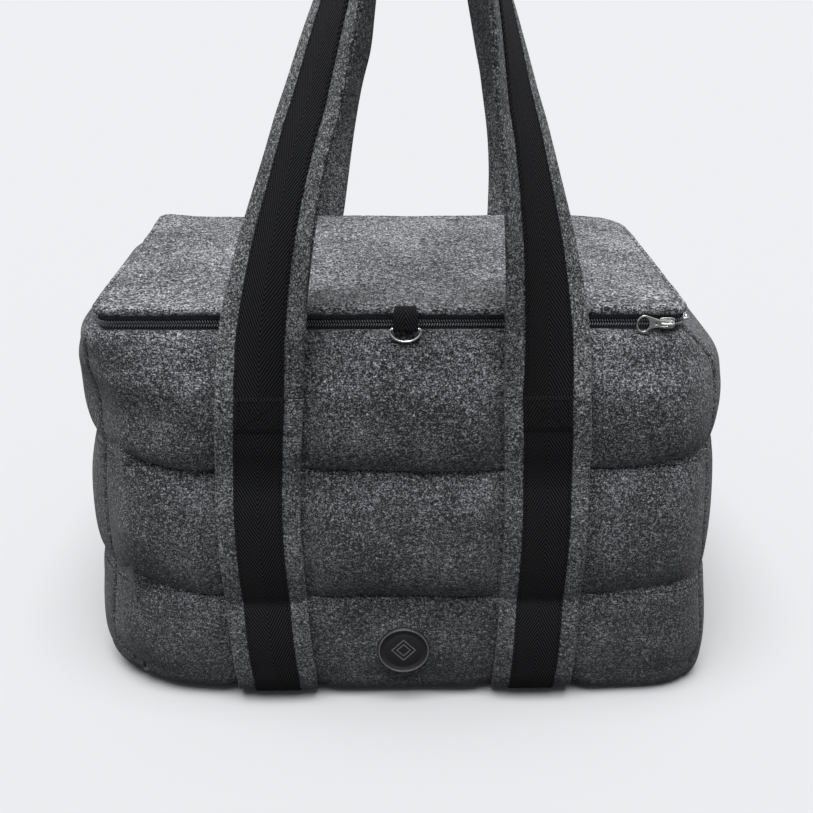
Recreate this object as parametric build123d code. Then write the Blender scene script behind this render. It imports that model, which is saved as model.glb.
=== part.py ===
"""Quilted felt weekender bag with a zipped lid and two carrying handles, in millimetres.

The origin is on the floor under the middle of the bag. +X is to the right as the front is looked at, +Y goes
from the front to the back and +Z is up. The badge and the ring on its tab are on the front, at -Y.
"""
from build123d import *
import os
from math import cos, radians, sin

os.makedirs("parts", exist_ok=True)

# ---------------------------------------------------------------- driving dimensions
lid_width = 470.0            # across the lid, left to right
lid_depth = 300.0            # across the lid, front to back
lid_corner_r = 16.0          # lid and rim corners seen from above

# heights above the floor
rim_z = 342.0                # top of the quilted walls
upper_seam_z = 228.0         # quilt seam between the top and the middle channel
lower_seam_z = 107.0         # quilt seam between the middle and the bottom channel
top_crest_z = 285.0          # fullest height of each channel
middle_crest_z = 167.0
bottom_crest_z = 62.0

# how far the walls stand out past the lid's edge
side_bulge = 35.0            # crests of the left and right walls
side_tuck = 28.0             # quilt seams of the left and right walls
face_bulge = 20.0            # crests of the front and back walls
face_tuck = 14.0             # quilt seams of the front and back walls
bottom_edge_r = 28.0         # rounding between wall and base
upright_edge_r = 36.0        # rounding of the four upright edges
plan_margin = 1.0            # the plan that rounds the upright edges stands this far off the crests

# sheet thicknesses
felt = 3.0                   # outer felt
lining = 1.2                 # woven lining
wall_inset = 8.0             # lining's outer face, inside the lid's edge
binding = 3.0                # felt binding round the rim
base_wadding_t = 8.0
board_t = 3.0
mat_t = 8.0
mat_gap = 0.5                # mat to lining, all round

# straps
strap_x = 121.0              # centre of each strap from the middle of the bag
strap_width = 70.0
strap_felt = 5.0             # two layers of felt
webbing_width = 40.0
webbing = 1.6
strap_top_z = 302.0          # top of the sewn run and of the stitched lap
lap_height = 32.0
lap = 1.2
flex_gap = 1.6               # sewn strap to free handle, where the strap folds
fold_clearance = 0.3         # handle's fold line above and in front of the lap

# handles, as the route of one leg from its fold to the top of the arch
handle_points = [(111.0, 345.0), (93.0, 438.0), (71.5, 524.0), (53.5, 595.0), (37.0, 658.0), (25.0, 680.0)]
handle_top_z = 690.0
handle_stations = 20         # cross-sections along each leg
twist_power = 0.65           # how early the leg turns: 1 is evenly along it

# zip
zip_recess = 5.0             # tape's outer face behind the lid's edge
zip_corner_r = 6.0
zip_mid_z = 351.0            # where the two rows of coil meet
tape = 0.8
coil = 2.0                   # coil's thickness, front to back
coil_row = 2.5               # height of one row of coil
coil_gap = 1.2               # between the rows, where the slider's divider runs
zip_end_y = 132.0            # where both ends of the zip stop, at the sides
end_tab = 6.0                # fabric end tab past each end

# lid
hem_height = 5.0
lid_felt = 3.0
lid_top_z = 365.0
lid_lining_z = 356.3         # lid's underside
hinge_inset = 6.0            # hinge line inside the back edge of the lid's outline
hinge_strip_t = 4.0
lid_gap = 0.3                # hinge strip to lid

# sliders
slider_length = 13.0
slider_height = 9.6
slider_plate = 1.2
slider_corner_r = 2.4
slider_gap = 0.4             # plates to coil and tape
divider = 0.8
divider_length = 7.0
crown_wire = 1.2
crown_width = 2.6
crown_reach = 4.8            # slider plate to the outside of the crown
crown_length = 12.4

# pull tabs
pull_offset = 2.0            # pull's pivot past the middle of the slider
pull_reach = 2.5             # pull's pivot in front of the slider plate
pull_t = 1.4
pull_length = 27.0
pull_ring_d = 14.0
pull_ring_wall = 1.8
pull_neck_x = 3.5            # where the straight sides leave the ring, from its centre towards the pivot
pull_neck = 6.0              # half their distance apart there
pull_eye_length = 9.0
pull_eye_gap = 0.5           # crown to each arm of the eye
pull_arm = 1.6

# ring on its tab
tab_x = 9.0
tab_width = 20.0
tab_t = 2.4
tab_reach = 8.6              # middle of the tab in front of the lid's edge
tab_fold = 0.4               # tab's top above the lid
ring_bar_z = 350.5
ring_wire = 2.0
ring_bore_gap = 0.05         # ring's bar in the tab's loop, on the radius
ring_inner_width = 21.0
ring_height = 19.0
ring_corner_r = 1.4
loop_wall = 1.25
tab_foot = 3.0

# badge
badge_d = 46.0
badge_t = 2.5
badge_rim = 2.0
badge_dish = 0.6
badge_z = 57.0

# ---------------------------------------------------------------- worked out from them
half_w = lid_width / 2
half_d = lid_depth / 2
base_z = strap_felt + webbing
base_felt_top = base_z + felt
board_z = base_felt_top + base_wadding_t
base_lining_z = board_z + board_t
mat_z = base_lining_z + lining
rim_top_z = rim_z + binding
hinge_y = half_d - hinge_inset
hinge_z = lid_lining_z
lid_felt_z = lid_top_z - lid_felt
inner_w = half_w - wall_inset
inner_d = half_d - wall_inset
strap_in = half_d + face_bulge
strap_mid = strap_in + strap_felt / 2
strap_out = strap_in + strap_felt
fold_y = strap_out + webbing + lap + fold_clearance
fold_z = strap_top_z + fold_clearance
far = lid_width + lid_depth


def save(shape, name):
    """Writes one node, and stops if it isn't made of sound solids."""
    solids = shape.solids()
    assert solids and all(s.is_valid and s.volume > 0 for s in solids), name
    part = solids[0] if len(solids) == 1 else Compound(children=solids)
    export_step(part, f"parts/{name}.step")
    print(f"{name}: {len(solids)} solid(s), {sum(s.volume for s in solids) / 1000:.1f} cm3")


def block(x0, x1, y0, y1, z0, z1):
    """A box between two opposite corners."""
    return Pos((x0 + x1) / 2, (y0 + y1) / 2, (z0 + z1) / 2) * Box(x1 - x0, y1 - y0, z1 - z0)


def both_sides(shape):
    """A shape and its mirror image on the other side of the bag."""
    return shape + mirror(shape, Plane.YZ)


# ---------------------------------------------------------------- quilted body
def quilted_outline(half, bulge, tuck, inset):
    """The bag's outline as a face, seen square on: three channels over a rounded foot, shrunk by inset."""
    crest = half + bulge - inset
    seam = half + tuck - inset
    foot = base_z + inset
    foot_r = bottom_edge_r - inset
    foot_centre = (crest - foot_r, foot + foot_r)
    side = [
        CenterArc(foot_centre, foot_r, -90, 90),
        Line((crest, foot + foot_r), (crest, bottom_crest_z)),
        TangentArc((crest, bottom_crest_z), (seam, lower_seam_z), tangent=(0, 1)),
        TangentArc((crest, middle_crest_z), (seam, lower_seam_z), tangent=(0, -1)),
        TangentArc((crest, middle_crest_z), (seam, upper_seam_z), tangent=(0, 1)),
        TangentArc((crest, top_crest_z), (seam, upper_seam_z), tangent=(0, -1)),
        TangentArc((crest, top_crest_z), (half - inset, rim_z), tangent=(0, 1)),
    ]
    across = [
        Line((foot_r - crest, foot), (crest - foot_r, foot)),
        Line((inset - half, rim_z), (half - inset, rim_z)),
    ]
    mirrored = [mirror(edge, Plane.YZ) for edge in side]
    return make_face(Curve() + side + mirrored + across)


def body_form(inset):
    """The filled outer form of the quilted body, shrunk by inset on the walls and the base."""
    front_view = Plane.XZ * quilted_outline(half_w, side_bulge, side_tuck, inset)
    side_view = Plane.YZ * quilted_outline(half_d, face_bulge, face_tuck, inset)
    plan_w = lid_width + 2 * (side_bulge + plan_margin - inset)
    plan_d = lid_depth + 2 * (face_bulge + plan_margin - inset)
    plan = RectangleRounded(plan_w, plan_d, upright_edge_r - inset)
    return extrude(front_view, far, both=True) & extrude(side_view, far, both=True) & extrude(plan, far)


def quarter(side):
    """The space that belongs to one wall, bounded by planes at 45 degrees through the inner corners."""
    short = inner_w - inner_d
    front = [(-short, 0), (short, 0), (inner_w + far, -inner_d - far), (-inner_w - far, -inner_d - far)]
    right = [(short, 0), (inner_w + far, inner_d + far), (inner_w + far, -inner_d - far)]
    corners = {
        "front": front,
        "back": [(x, -y) for x, y in front],
        "right": right,
        "left": [(-x, y) for x, y in right],
    }[side]
    return extrude(make_face(Polyline(*corners, close=True)), far)


def level(z0, z1):
    """A slab of space between two heights."""
    return block(-far, far, -far, far, z0, z1)


outer_form = body_form(0)
inner_form = body_form(felt)
inside = block(-inner_w, inner_w, -inner_d, inner_d, base_felt_top, rim_z)
skin = (outer_form - inner_form) & level(base_felt_top, rim_z)
filling = (inner_form - inside) & level(base_felt_top, rim_z)
channels = [(base_felt_top, lower_seam_z), (lower_seam_z, upper_seam_z), (upper_seam_z, rim_z)]

for wall, panel in {"front": "panel", "back": "panel", "left": "gusset", "right": "gusset"}.items():
    wall_space = quarter(wall)
    save(skin & wall_space, f"{wall}_{panel}")
    wall_filling = filling & wall_space
    save(Compound(children=[(wall_filling & level(*z)).solid() for z in channels]), f"{wall}_wadding")

save(outer_form & level(base_z, base_felt_top), "base_panel")
save(block(-inner_w, inner_w, -inner_d, inner_d, base_felt_top, board_z) & inner_form, "base_wadding")
save(block(-inner_w, inner_w, -inner_d, inner_d, board_z, base_lining_z), "base_board")
save(block(-inner_w, inner_w, -inner_d, inner_d, base_lining_z, mat_z), "base_lining")
front_lining = block(-inner_w, inner_w, -inner_d, lining - inner_d, mat_z, rim_z)
right_lining = block(inner_w - lining, inner_w, lining - inner_d, inner_d - lining, mat_z, rim_z)
save(front_lining, "front_lining")
save(mirror(front_lining, Plane.XZ), "back_lining")
save(right_lining, "right_lining")
save(mirror(right_lining, Plane.YZ), "left_lining")
mat_w = inner_w - lining - mat_gap
mat_d = inner_d - lining - mat_gap
save(block(-mat_w, mat_w, -mat_d, mat_d, mat_z, mat_z + mat_t), "base_mat")

rim_plan = RectangleRounded(lid_width, lid_depth, lid_corner_r)
rim_hole = Rectangle(2 * (inner_w - lining), 2 * (inner_d - lining))
rim_ring = Pos(0, 0, rim_z) * extrude(rim_plan - rim_hole, binding)
rim_sides = [(rim_ring & quarter(wall)).solid() for wall in ("front", "back", "left", "right")]
save(Compound(children=rim_sides), "rim_binding")


# ---------------------------------------------------------------- sewn straps
def strap_layer(width, depth, thickness, top):
    """One layer of the front strap: up the wall, and round the foot to where the run under the base starts.
    depth is how far the layer's inner face lies off the felt of the body."""
    inner_r = bottom_edge_r + depth
    outer_r = inner_r + thickness
    centre_y = strap_in - bottom_edge_r
    centre_z = base_z + bottom_edge_r
    run_y = -(strap_in + depth + thickness / 2)
    run = Pos(run_y, (centre_z + top) / 2) * Rectangle(thickness, top - centre_z)
    ring = Circle(outer_r) - Circle(inner_r)
    corner = Pos(-centre_y, centre_z) * (ring & Pos(-outer_r / 2, -outer_r / 2) * Rectangle(outer_r, outer_r))
    return Pos(strap_x, 0, 0) * extrude(Plane.YZ * (run + corner), width / 2, both=True)


def base_run(width, z0, z1):
    """One layer of the strap's run under the base."""
    reach = strap_in - bottom_edge_r
    return block(strap_x - width / 2, strap_x + width / 2, -reach, reach, z0, z1)


front_felt = both_sides(strap_layer(strap_width, 0, strap_felt, strap_top_z))
front_web = both_sides(strap_layer(webbing_width, strap_felt, webbing, strap_top_z))
lap_out = strap_out + webbing
front_lap = both_sides(block(strap_x - webbing_width / 2, strap_x + webbing_width / 2,
                             -lap_out - lap, -lap_out, strap_top_z - lap_height, strap_top_z))
for name, shape in {"strap_felt": front_felt, "strap_webbing": front_web, "webbing_laps": front_lap}.items():
    save(shape, f"front_{name}")
    save(mirror(shape, Plane.XZ), f"back_{name}")
save(both_sides(base_run(strap_width, webbing, base_z)), "base_strap_felt")
save(both_sides(base_run(webbing_width, 0, webbing)), "base_strap_webbing")


# ---------------------------------------------------------------- handles
def handle_route():
    """The middle of the front handle's felt, from the left fold over the arch to the right fold."""
    start_z = strap_top_z + flex_gap
    leg = [(strap_x, start_z)] + handle_points
    route = [(-x, z) for x, z in leg] + [(0, handle_top_z)] + [(x, z) for x, z in reversed(leg)]
    return Spline(*[(x, -strap_mid, z) for x, z in route], tangents=[(0, 0, 1), (0, 0, -1)])


def handle_layer(route, width, depth, thickness):
    """One layer of the front handle. It faces forwards at each fold and upwards at the top of the arch."""
    sections = []
    for i in range(2 * handle_stations + 1):
        along = i / (2 * handle_stations)
        from_fold = min(along, 1 - along) * 2
        twist = radians(90) * from_fold ** twist_power
        middle = route @ along
        run = route % along
        outward = Vector(-run.Z, 0, run.X)
        face = Vector(0, -1, 0) * cos(twist) + outward * sin(twist)
        edge = outward * cos(twist) + Vector(0, 1, 0) * sin(twist)
        near = middle + face * depth
        off = near + face * thickness
        side = edge * (width / 2)
        sections.append(Face(Wire.make_polygon([near - side, near + side, off + side, off - side])))
    return loft(sections, ruled=True)


route = handle_route()
handle_felt = handle_layer(route, strap_width, -strap_felt / 2, strap_felt)
handle_web = handle_layer(route, webbing_width, strap_felt / 2, webbing)
save(handle_felt, "front_handle_felt")
save(handle_web, "front_handle_webbing")
save(mirror(handle_felt, Plane.XZ), "back_handle_felt")
save(mirror(handle_web, Plane.XZ), "back_handle_webbing")


# ---------------------------------------------------------------- zip
def zip_band(front_face, thickness, z0, z1, end_y=zip_end_y):
    """A band along the zip's line: back from the front on both sides, with its outer face at front_face
    behind the lid's edge."""
    grow = zip_recess - front_face
    outer = RectangleRounded(lid_width - 2 * front_face, lid_depth - 2 * front_face, zip_corner_r + grow)
    inner_face = front_face + thickness
    inner_r = zip_corner_r + grow - thickness
    inner = RectangleRounded(lid_width - 2 * inner_face, lid_depth - 2 * inner_face, inner_r)
    band = Pos(0, 0, z0) * extrude(outer - inner, z1 - z0)
    return band & block(-far, far, -far, end_y, z0, z1)


coil_face = zip_recess - coil
lower_coil_top = zip_mid_z - coil_gap / 2
upper_coil_z = zip_mid_z + coil_gap / 2
save(zip_band(zip_recess, tape, rim_top_z, lower_coil_top), "zip_lower_tape")
save(zip_band(coil_face, coil, lower_coil_top - coil_row, lower_coil_top), "zip_lower_coil")
save(zip_band(zip_recess, tape, upper_coil_z, lid_felt_z), "zip_upper_tape")
save(zip_band(coil_face, coil, upper_coil_z, upper_coil_z + coil_row), "zip_upper_coil")
end_tabs = block(half_w - zip_recess - tape, half_w - coil_face, zip_end_y + slider_gap,
                 zip_end_y + slider_gap + end_tab, rim_top_z, zip_mid_z)
save(both_sides(end_tabs), "zip_end_tabs")


# ---------------------------------------------------------------- lid
def lid_plan(inset):
    """The lid's outline seen from above, shrunk by inset, with its back edge on the hinge line."""
    outline = RectangleRounded(lid_width - 2 * inset, lid_depth - 2 * inset, lid_corner_r - inset)
    return outline & Pos(0, hinge_y - lid_depth) * Rectangle(lid_width, 2 * lid_depth)


hem_inner = RectangleRounded(lid_width - 2 * zip_recess, lid_depth - 2 * zip_recess, zip_corner_r)
hem_plan = RectangleRounded(lid_width, lid_depth, lid_corner_r) - hem_inner
hem = Pos(0, 0, lid_felt_z - hem_height) * extrude(hem_plan, hem_height)
core_inset = zip_recess + tape
core = RectangleRounded(lid_width - 2 * core_inset, lid_depth - 2 * core_inset, zip_corner_r - tape)
core = core & lid_plan(0)
save(Pos(0, 0, lid_felt_z) * extrude(lid_plan(0), lid_felt), "lid_panel")
save(hem & block(-far, far, -far, zip_end_y, 0, far), "lid_hem")
save(Pos(0, 0, lid_lining_z + lining) * extrude(core, lid_felt_z - lid_lining_z - lining), "lid_wadding")
save(Pos(0, 0, lid_lining_z) * extrude(core, lining), "lid_lining")
hinge_reach = half_w - lid_corner_r
save(block(-hinge_reach, hinge_reach, hinge_y - hinge_strip_t, hinge_y, rim_top_z, lid_lining_z - lid_gap),
     "lid_hinge_strip")


# ---------------------------------------------------------------- sliders and their pulls
def slider_at_origin():
    """A slider and its crown, running along X, with the tape's outer face on the plane y = 0."""
    front_y = -coil - slider_gap
    back_y = tape + slider_gap
    blank = RectangleRounded(slider_length, slider_height, slider_corner_r)
    front_plate = Plane.XZ * Pos(0, 0, -front_y) * extrude(blank, slider_plate)
    back_plate = Plane.XZ * Pos(0, 0, -back_y - slider_plate) * extrude(blank, slider_plate)
    web = block(slider_length / 2 - divider_length, slider_length / 2 - divider, front_y, back_y,
                -divider / 2, divider / 2)
    body = front_plate + back_plate + web
    foot_y = front_y - slider_plate
    arch = block(-crown_length / 2, crown_length / 2, foot_y - crown_reach, foot_y,
                 -crown_width / 2, crown_width / 2)
    arch = fillet(arch.edges().filter_by(Axis.Z).group_by(Axis.Y)[0], crown_reach / 2)
    gap_length = crown_length - 2 * crown_wire
    gap_depth = crown_reach - crown_wire
    gap = block(-gap_length / 2, gap_length / 2, foot_y - gap_depth, foot_y, -crown_width, crown_width)
    gap = fillet(gap.edges().filter_by(Axis.Z).group_by(Axis.Y)[0], crown_reach / 2 - crown_wire)
    return body, arch - gap


def pull_at_origin():
    """A pull tab pointing along -X from its cross bar, which lies along Z through the origin."""
    ring_x = pull_ring_d / 2 - pull_length
    eye = crown_width + 2 * pull_eye_gap
    root_w = eye + 2 * pull_arm
    ring = Pos(ring_x, 0) * Circle(pull_ring_d / 2)
    neck_x = ring_x + pull_neck_x
    half = [(neck_x, pull_neck), (-pull_eye_length, root_w / 2), (0, root_w / 2)]
    taper = make_face(Polyline(*half, *[(x, -y) for x, y in reversed(half)], close=True))
    slot = Pos(-pull_eye_length / 2, 0) * Rectangle(pull_eye_length, eye)
    hole = Pos(ring_x, 0) * Circle(pull_ring_d / 2 - pull_ring_wall)
    plate = extrude(Plane.XZ * (ring + taper - slot - hole), pull_t / 2, both=True)
    return plate + Cylinder(pull_t / 2, root_w)


slider_body, slider_crown = slider_at_origin()
pull = pull_at_origin()
slider_x = half_w - zip_recess - zip_corner_r - slider_length / 2
slider_y = half_d - zip_recess - zip_corner_r - slider_length / 2
pivot_depth = coil + slider_gap + slider_plate + pull_reach
front_place = Pos(slider_x, zip_recess - half_d, zip_mid_z)
side_place = Pos(half_w - zip_recess, -slider_y, zip_mid_z) * Rot(0, 0, 90)
turned = mirror(slider_body, Plane.YZ)
turned_crown = mirror(slider_crown, Plane.YZ)
turned_pull = mirror(pull, Plane.YZ)
save(front_place * slider_body, "front_slider_body")
save(front_place * slider_crown, "front_slider_crown")
save(front_place * Pos(pull_offset, -pivot_depth, 0) * pull, "front_pull_tab")
save(side_place * turned, "side_slider_body")
save(side_place * turned_crown, "side_slider_crown")
save(side_place * Pos(-pull_offset, -pivot_depth, 0) * turned_pull, "side_pull_tab")


# ---------------------------------------------------------------- ring on its tab
tab_top_z = lid_top_z + tab_fold
loop_r = ring_wire / 2 + ring_bore_gap + loop_wall
tab_y = -half_d - tab_reach
hang = block(tab_x - tab_width / 2, tab_x + tab_width / 2, tab_y - tab_t / 2, tab_y + tab_t / 2,
             ring_bar_z, tab_top_z)
foot_strip = block(tab_x - tab_width / 2, tab_x + tab_width / 2, tab_y, -half_d - lid_gap,
                   tab_top_z - tab_foot, tab_top_z)
loop = Pos(tab_x, tab_y, ring_bar_z) * Rot(0, 90, 0) * Cylinder(loop_r, tab_width)
bore = Pos(tab_x, tab_y, ring_bar_z) * Rot(0, 90, 0) * Cylinder(ring_wire / 2 + ring_bore_gap, 2 * tab_width)
save(hang + foot_strip + loop - bore, "ring_tab")

ring_half = (ring_inner_width + ring_wire) / 2
bend_z = ring_half + ring_wire - ring_height
bar_half = ring_half - ring_corner_r
ring_line = Curve() + [
    Line((-bar_half, 0), (bar_half, 0)),
    CenterArc((bar_half, -ring_corner_r), ring_corner_r, 0, 90),
    Line((ring_half, -ring_corner_r), (ring_half, bend_z)),
    CenterArc((0, bend_z), ring_half, 180, 180),
    Line((-ring_half, bend_z), (-ring_half, -ring_corner_r)),
    CenterArc((-bar_half, -ring_corner_r), ring_corner_r, 90, 90),
]
ring_wall = Plane.YZ * Circle(ring_wire / 2)
ring = sweep(ring_wall, path=Plane.XZ * ring_line)
save(Pos(tab_x, tab_y, ring_bar_z) * ring, "d_ring")

# ---------------------------------------------------------------- badge
dish = Pos(0, 0, badge_t / 2) * Cylinder(badge_d / 2 - badge_rim, 2 * badge_dish)
badge_disc = Cylinder(badge_d / 2, badge_t) - dish
badge_place = Pos(0, -strap_in - badge_t / 2, badge_z) * Rot(90, 0, 0)
save(badge_place * badge_disc, "badge")

print(f"handle fold: y {fold_y:.2f}, z {fold_z:.2f}; lid hinge: y {hinge_y:.2f}, z {hinge_z:.2f}")
print(f"pull pivots: front x {slider_x + pull_offset:.2f} y {zip_recess - half_d - pivot_depth:.2f}; "
      f"side x {half_w - zip_recess + pivot_depth:.2f} y {-slider_y - pull_offset:.2f}")
print(f"ring: tab hinge y {-half_d - lid_gap:.2f} z {tab_top_z:.2f}; bar y {tab_y:.2f} z {ring_bar_z:.2f}")
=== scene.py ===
# %% [markdown]
# # A quilted felt weekender bag
# The bag is a soft box of grey felt. Wadding between the felt and the lining is sewn into three channels
# that run right round it, two felt straps with black webbing go under it and rise as handles, and a zip
# runs round the lid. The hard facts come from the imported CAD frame, and this lesson dresses that frame.

# %% Load the frame
import bmesh
import bpy
import numpy as np
from math import cos, pi, radians, sin
from mathutils import Matrix, Vector


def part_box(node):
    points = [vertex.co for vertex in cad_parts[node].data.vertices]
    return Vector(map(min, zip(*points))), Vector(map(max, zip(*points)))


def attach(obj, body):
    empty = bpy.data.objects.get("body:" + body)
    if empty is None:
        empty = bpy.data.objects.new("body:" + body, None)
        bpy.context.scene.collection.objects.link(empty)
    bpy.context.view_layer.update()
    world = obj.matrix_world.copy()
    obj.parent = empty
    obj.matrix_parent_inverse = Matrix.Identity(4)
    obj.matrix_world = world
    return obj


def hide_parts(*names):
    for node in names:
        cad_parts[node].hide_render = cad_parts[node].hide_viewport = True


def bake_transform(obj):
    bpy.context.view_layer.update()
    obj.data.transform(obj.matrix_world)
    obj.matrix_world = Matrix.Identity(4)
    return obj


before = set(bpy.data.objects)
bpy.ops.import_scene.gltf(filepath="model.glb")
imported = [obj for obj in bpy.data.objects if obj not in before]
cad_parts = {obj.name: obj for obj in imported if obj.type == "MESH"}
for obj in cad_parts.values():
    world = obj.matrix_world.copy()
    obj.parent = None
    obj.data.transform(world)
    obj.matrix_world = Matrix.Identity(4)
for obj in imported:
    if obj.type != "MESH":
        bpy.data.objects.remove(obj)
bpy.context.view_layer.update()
MM = 0.001

# %% [markdown]
# ## Camera, light and floor
# The camera stands a metre away and looks down a little at the bag. The light is one very wide lamp
# overhead, as under a studio's ceiling of cloth, with a weak even fill, so that the lid is the brightest
# face and the walls fall off gently. The floor is a plain pale sheet.

# %% Camera
def put_in_scene(name, data):
    """A new object at the origin, in the scene."""
    thing = bpy.data.objects.new(name, data)
    bpy.context.scene.collection.objects.link(thing)
    return thing


camera_place = Vector((-0.0094, -1.015, 0.653))
camera_pitch = radians(23.3)
camera_yaw = radians(1.3)
camera_roll = radians(0.2)
ahead = Vector((sin(camera_yaw) * cos(camera_pitch),
                cos(camera_yaw) * cos(camera_pitch),
                -sin(camera_pitch)))
level_right = Vector((cos(camera_yaw), -sin(camera_yaw), 0))
level_up = level_right.cross(ahead)
camera_right = level_right * cos(camera_roll) + level_up * sin(camera_roll)
camera_up = level_up * cos(camera_roll) - level_right * sin(camera_roll)
camera_data = bpy.data.cameras.new("camera")
camera_data.sensor_width = 36.0
camera_data.lens = 51.1
camera = put_in_scene("camera", camera_data)
camera_turn = Matrix((camera_right, camera_up, -ahead)).transposed().to_4x4()
camera.matrix_world = Matrix.Translation(camera_place) @ camera_turn
bpy.context.scene.camera = camera
print("camera stands", round(-camera_place.y, 3), "m in front and", round(camera_place.z, 3), "m up")

# %% Lamps and world
def add_lamp(name, kind, energy, towards, angle):
    """A lamp far away, shining along a direction."""
    data = bpy.data.lights.new(name, kind)
    data.energy = energy
    data.angle = angle
    lamp = put_in_scene(name, data)
    lamp.rotation_mode = "QUATERNION"
    lamp.rotation_quaternion = Vector(towards).to_track_quat("-Z", "Y")
    return lamp


add_lamp("overhead", "SUN", 3.9, (0.05, 0.30, -1.0), radians(45))
world = bpy.data.worlds.new("studio")
bpy.context.scene.world = world
world.use_nodes = True
world_nodes = world.node_tree.nodes
sky = world_nodes["Background"]
sky.inputs["Color"].default_value = (0.98, 0.99, 1.0, 1)
sky.inputs["Strength"].default_value = 0.25
backdrop = world_nodes.new("ShaderNodeBackground")
backdrop.inputs["Color"].default_value = (0.83, 0.84, 0.86, 1)
seen = world_nodes.new("ShaderNodeLightPath")
choose = world_nodes.new("ShaderNodeMixShader")
mirrored = world_nodes.new("ShaderNodeMath")
mirrored.operation = "MAXIMUM"
world.node_tree.links.new(seen.outputs["Is Camera Ray"], mirrored.inputs[0])
world.node_tree.links.new(seen.outputs["Is Glossy Ray"], mirrored.inputs[1])
world.node_tree.links.new(mirrored.outputs[0], choose.inputs["Fac"])
world.node_tree.links.new(sky.outputs[0], choose.inputs[1])
world.node_tree.links.new(backdrop.outputs[0], choose.inputs[2])
world.node_tree.links.new(choose.outputs[0], world_nodes["World Output"].inputs["Surface"])
bpy.context.scene.view_settings.view_transform = "Standard"
print("one lamp overhead and a fill of", round(sky.inputs["Strength"].default_value, 3))

# %% [markdown]
# ## Small helpers for meshes
# Every soft piece here is a grid of points wrapped round a shape. These helpers turn lists of points into a
# mesh object, name the faces of a grid, bake modifiers, and give the soft curves and gentle unevenness
# that cloth has. They are pure arithmetic, so the bag comes out the same every time.

# %% Mesh helpers
def new_object(name, points, faces, material, uvs=None):
    """A smooth shaded mesh object at the origin. uvs are one pair of metres for each point."""
    mesh = bpy.data.meshes.new(name)
    mesh.from_pydata([tuple(p) for p in points], [], [tuple(f) for f in faces])
    if uvs is not None:
        corner_points = np.zeros(len(mesh.loops), np.int32)
        mesh.loops.foreach_get("vertex_index", corner_points)
        layer = mesh.uv_layers.new(name="UVMap")
        layer.data.foreach_set("uv", np.asarray(uvs, float)[corner_points].ravel())
    mesh.polygons.foreach_set("use_smooth", [True] * len(mesh.polygons))
    mesh.materials.append(material)
    return put_in_scene(name, mesh)


def face_out(thing):
    """Makes every face of a closed mesh point outwards."""
    sheet = bmesh.new()
    sheet.from_mesh(thing.data)
    bmesh.ops.recalc_face_normals(sheet, faces=sheet.faces)
    sheet.to_mesh(thing.data)
    sheet.free()
    return thing


def grid_faces(rows, columns, first=0, closed_rows=False, closed_columns=False):
    """The quads of a grid of points that were listed row by row."""
    quads = []
    for r in range(rows if closed_rows else rows - 1):
        for c in range(columns if closed_columns else columns - 1):
            r2 = (r + 1) % rows
            c2 = (c + 1) % columns
            quads.append((first + r * columns + c, first + r * columns + c2,
                          first + r2 * columns + c2, first + r2 * columns + c))
    return quads


def finish_mesh(thing, *modifiers):
    """Bakes modifiers into the mesh, so that the mesh holds what is seen."""
    for kind, settings in modifiers:
        step = thing.modifiers.new(kind.lower(), kind)
        for key, value in settings.items():
            setattr(step, key, value)
    evaluated = thing.evaluated_get(bpy.context.evaluated_depsgraph_get())
    mesh = bpy.data.meshes.new_from_object(evaluated)
    thing.modifiers.clear()
    thing.data = mesh
    return thing


def smooth(t):
    """0 below 0, 1 above 1 and a soft S between."""
    t = np.clip(t, 0.0, 1.0)
    return t * t * (3 - 2 * t)


def directions(path):
    """The unit direction along a line, at each of its points."""
    tangent = np.gradient(path, axis=0)
    return tangent / np.linalg.norm(tangent, axis=1)[:, None]


def between(z, heights, values):
    """A smooth line through a few values at given heights."""
    z = np.asarray(z, float)
    order = np.argsort(heights)
    h = np.asarray(heights, float)[order]
    v = np.asarray(values, float)[order]
    slope = np.gradient(v, h)
    i = np.clip(np.searchsorted(h, z) - 1, 0, len(h) - 2)
    step = h[i + 1] - h[i]
    t = np.clip((z - h[i]) / step, 0.0, 1.0)
    places = (1 + 2 * t) * (1 - t) ** 2 * v[i] + t * t * (3 - 2 * t) * v[i + 1]
    slopes = t * (1 - t) ** 2 * step * slope[i] - t * t * (1 - t) * step * slope[i + 1]
    return places + slopes


def ripple(a, b, seed, waves=5):
    """A gentle irregular field from -1 to 1, the same on every run."""
    draw = np.random.default_rng(seed)
    total = 0.0
    for _ in range(waves):
        across, along = draw.uniform(-1, 1, 2)
        total = total + np.sin(2 * pi * (across * a + along * b) + draw.uniform(0, 2 * pi))
    return total / waves


# %% [markdown]
# ## Felt
# Boiled wool felt in salt and pepper is a mat of dark and pale fibres with no weave. Seen close it is
# speckled at about a millimetre, with short pale hairs lying every way. A fine noise gives the speckle, two
# stretched noises crossing each other give the hairs, and a broad faint noise the cloudy patches. Towards the
# floor the felt's colour is painted darker, a painted shade for the dimmer light near the floor. The group is
# built once and used by the walls, the lid and the straps with their own tones; the lid's and the straps' are
# painted paler, standing in for the light on them.

# %% Helpers for shader trees
def new_group(name, inputs, outputs):
    """An empty shader group. inputs are (name, kind, value), outputs are (name, kind)."""
    tree = bpy.data.node_groups.new(name, "ShaderNodeTree")
    for label, kind, value in inputs:
        socket = tree.interface.new_socket(label, in_out="INPUT", socket_type=kind)
        if value is not None:
            socket.default_value = value
    for label, kind in outputs:
        tree.interface.new_socket(label, in_out="OUTPUT", socket_type=kind)
    start = tree.nodes.new("NodeGroupInput")
    end = tree.nodes.new("NodeGroupOutput")
    return tree, start, end


def link(tree, source, target):
    """Joins an output socket to an input socket."""
    tree.links.new(source, target)


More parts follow.
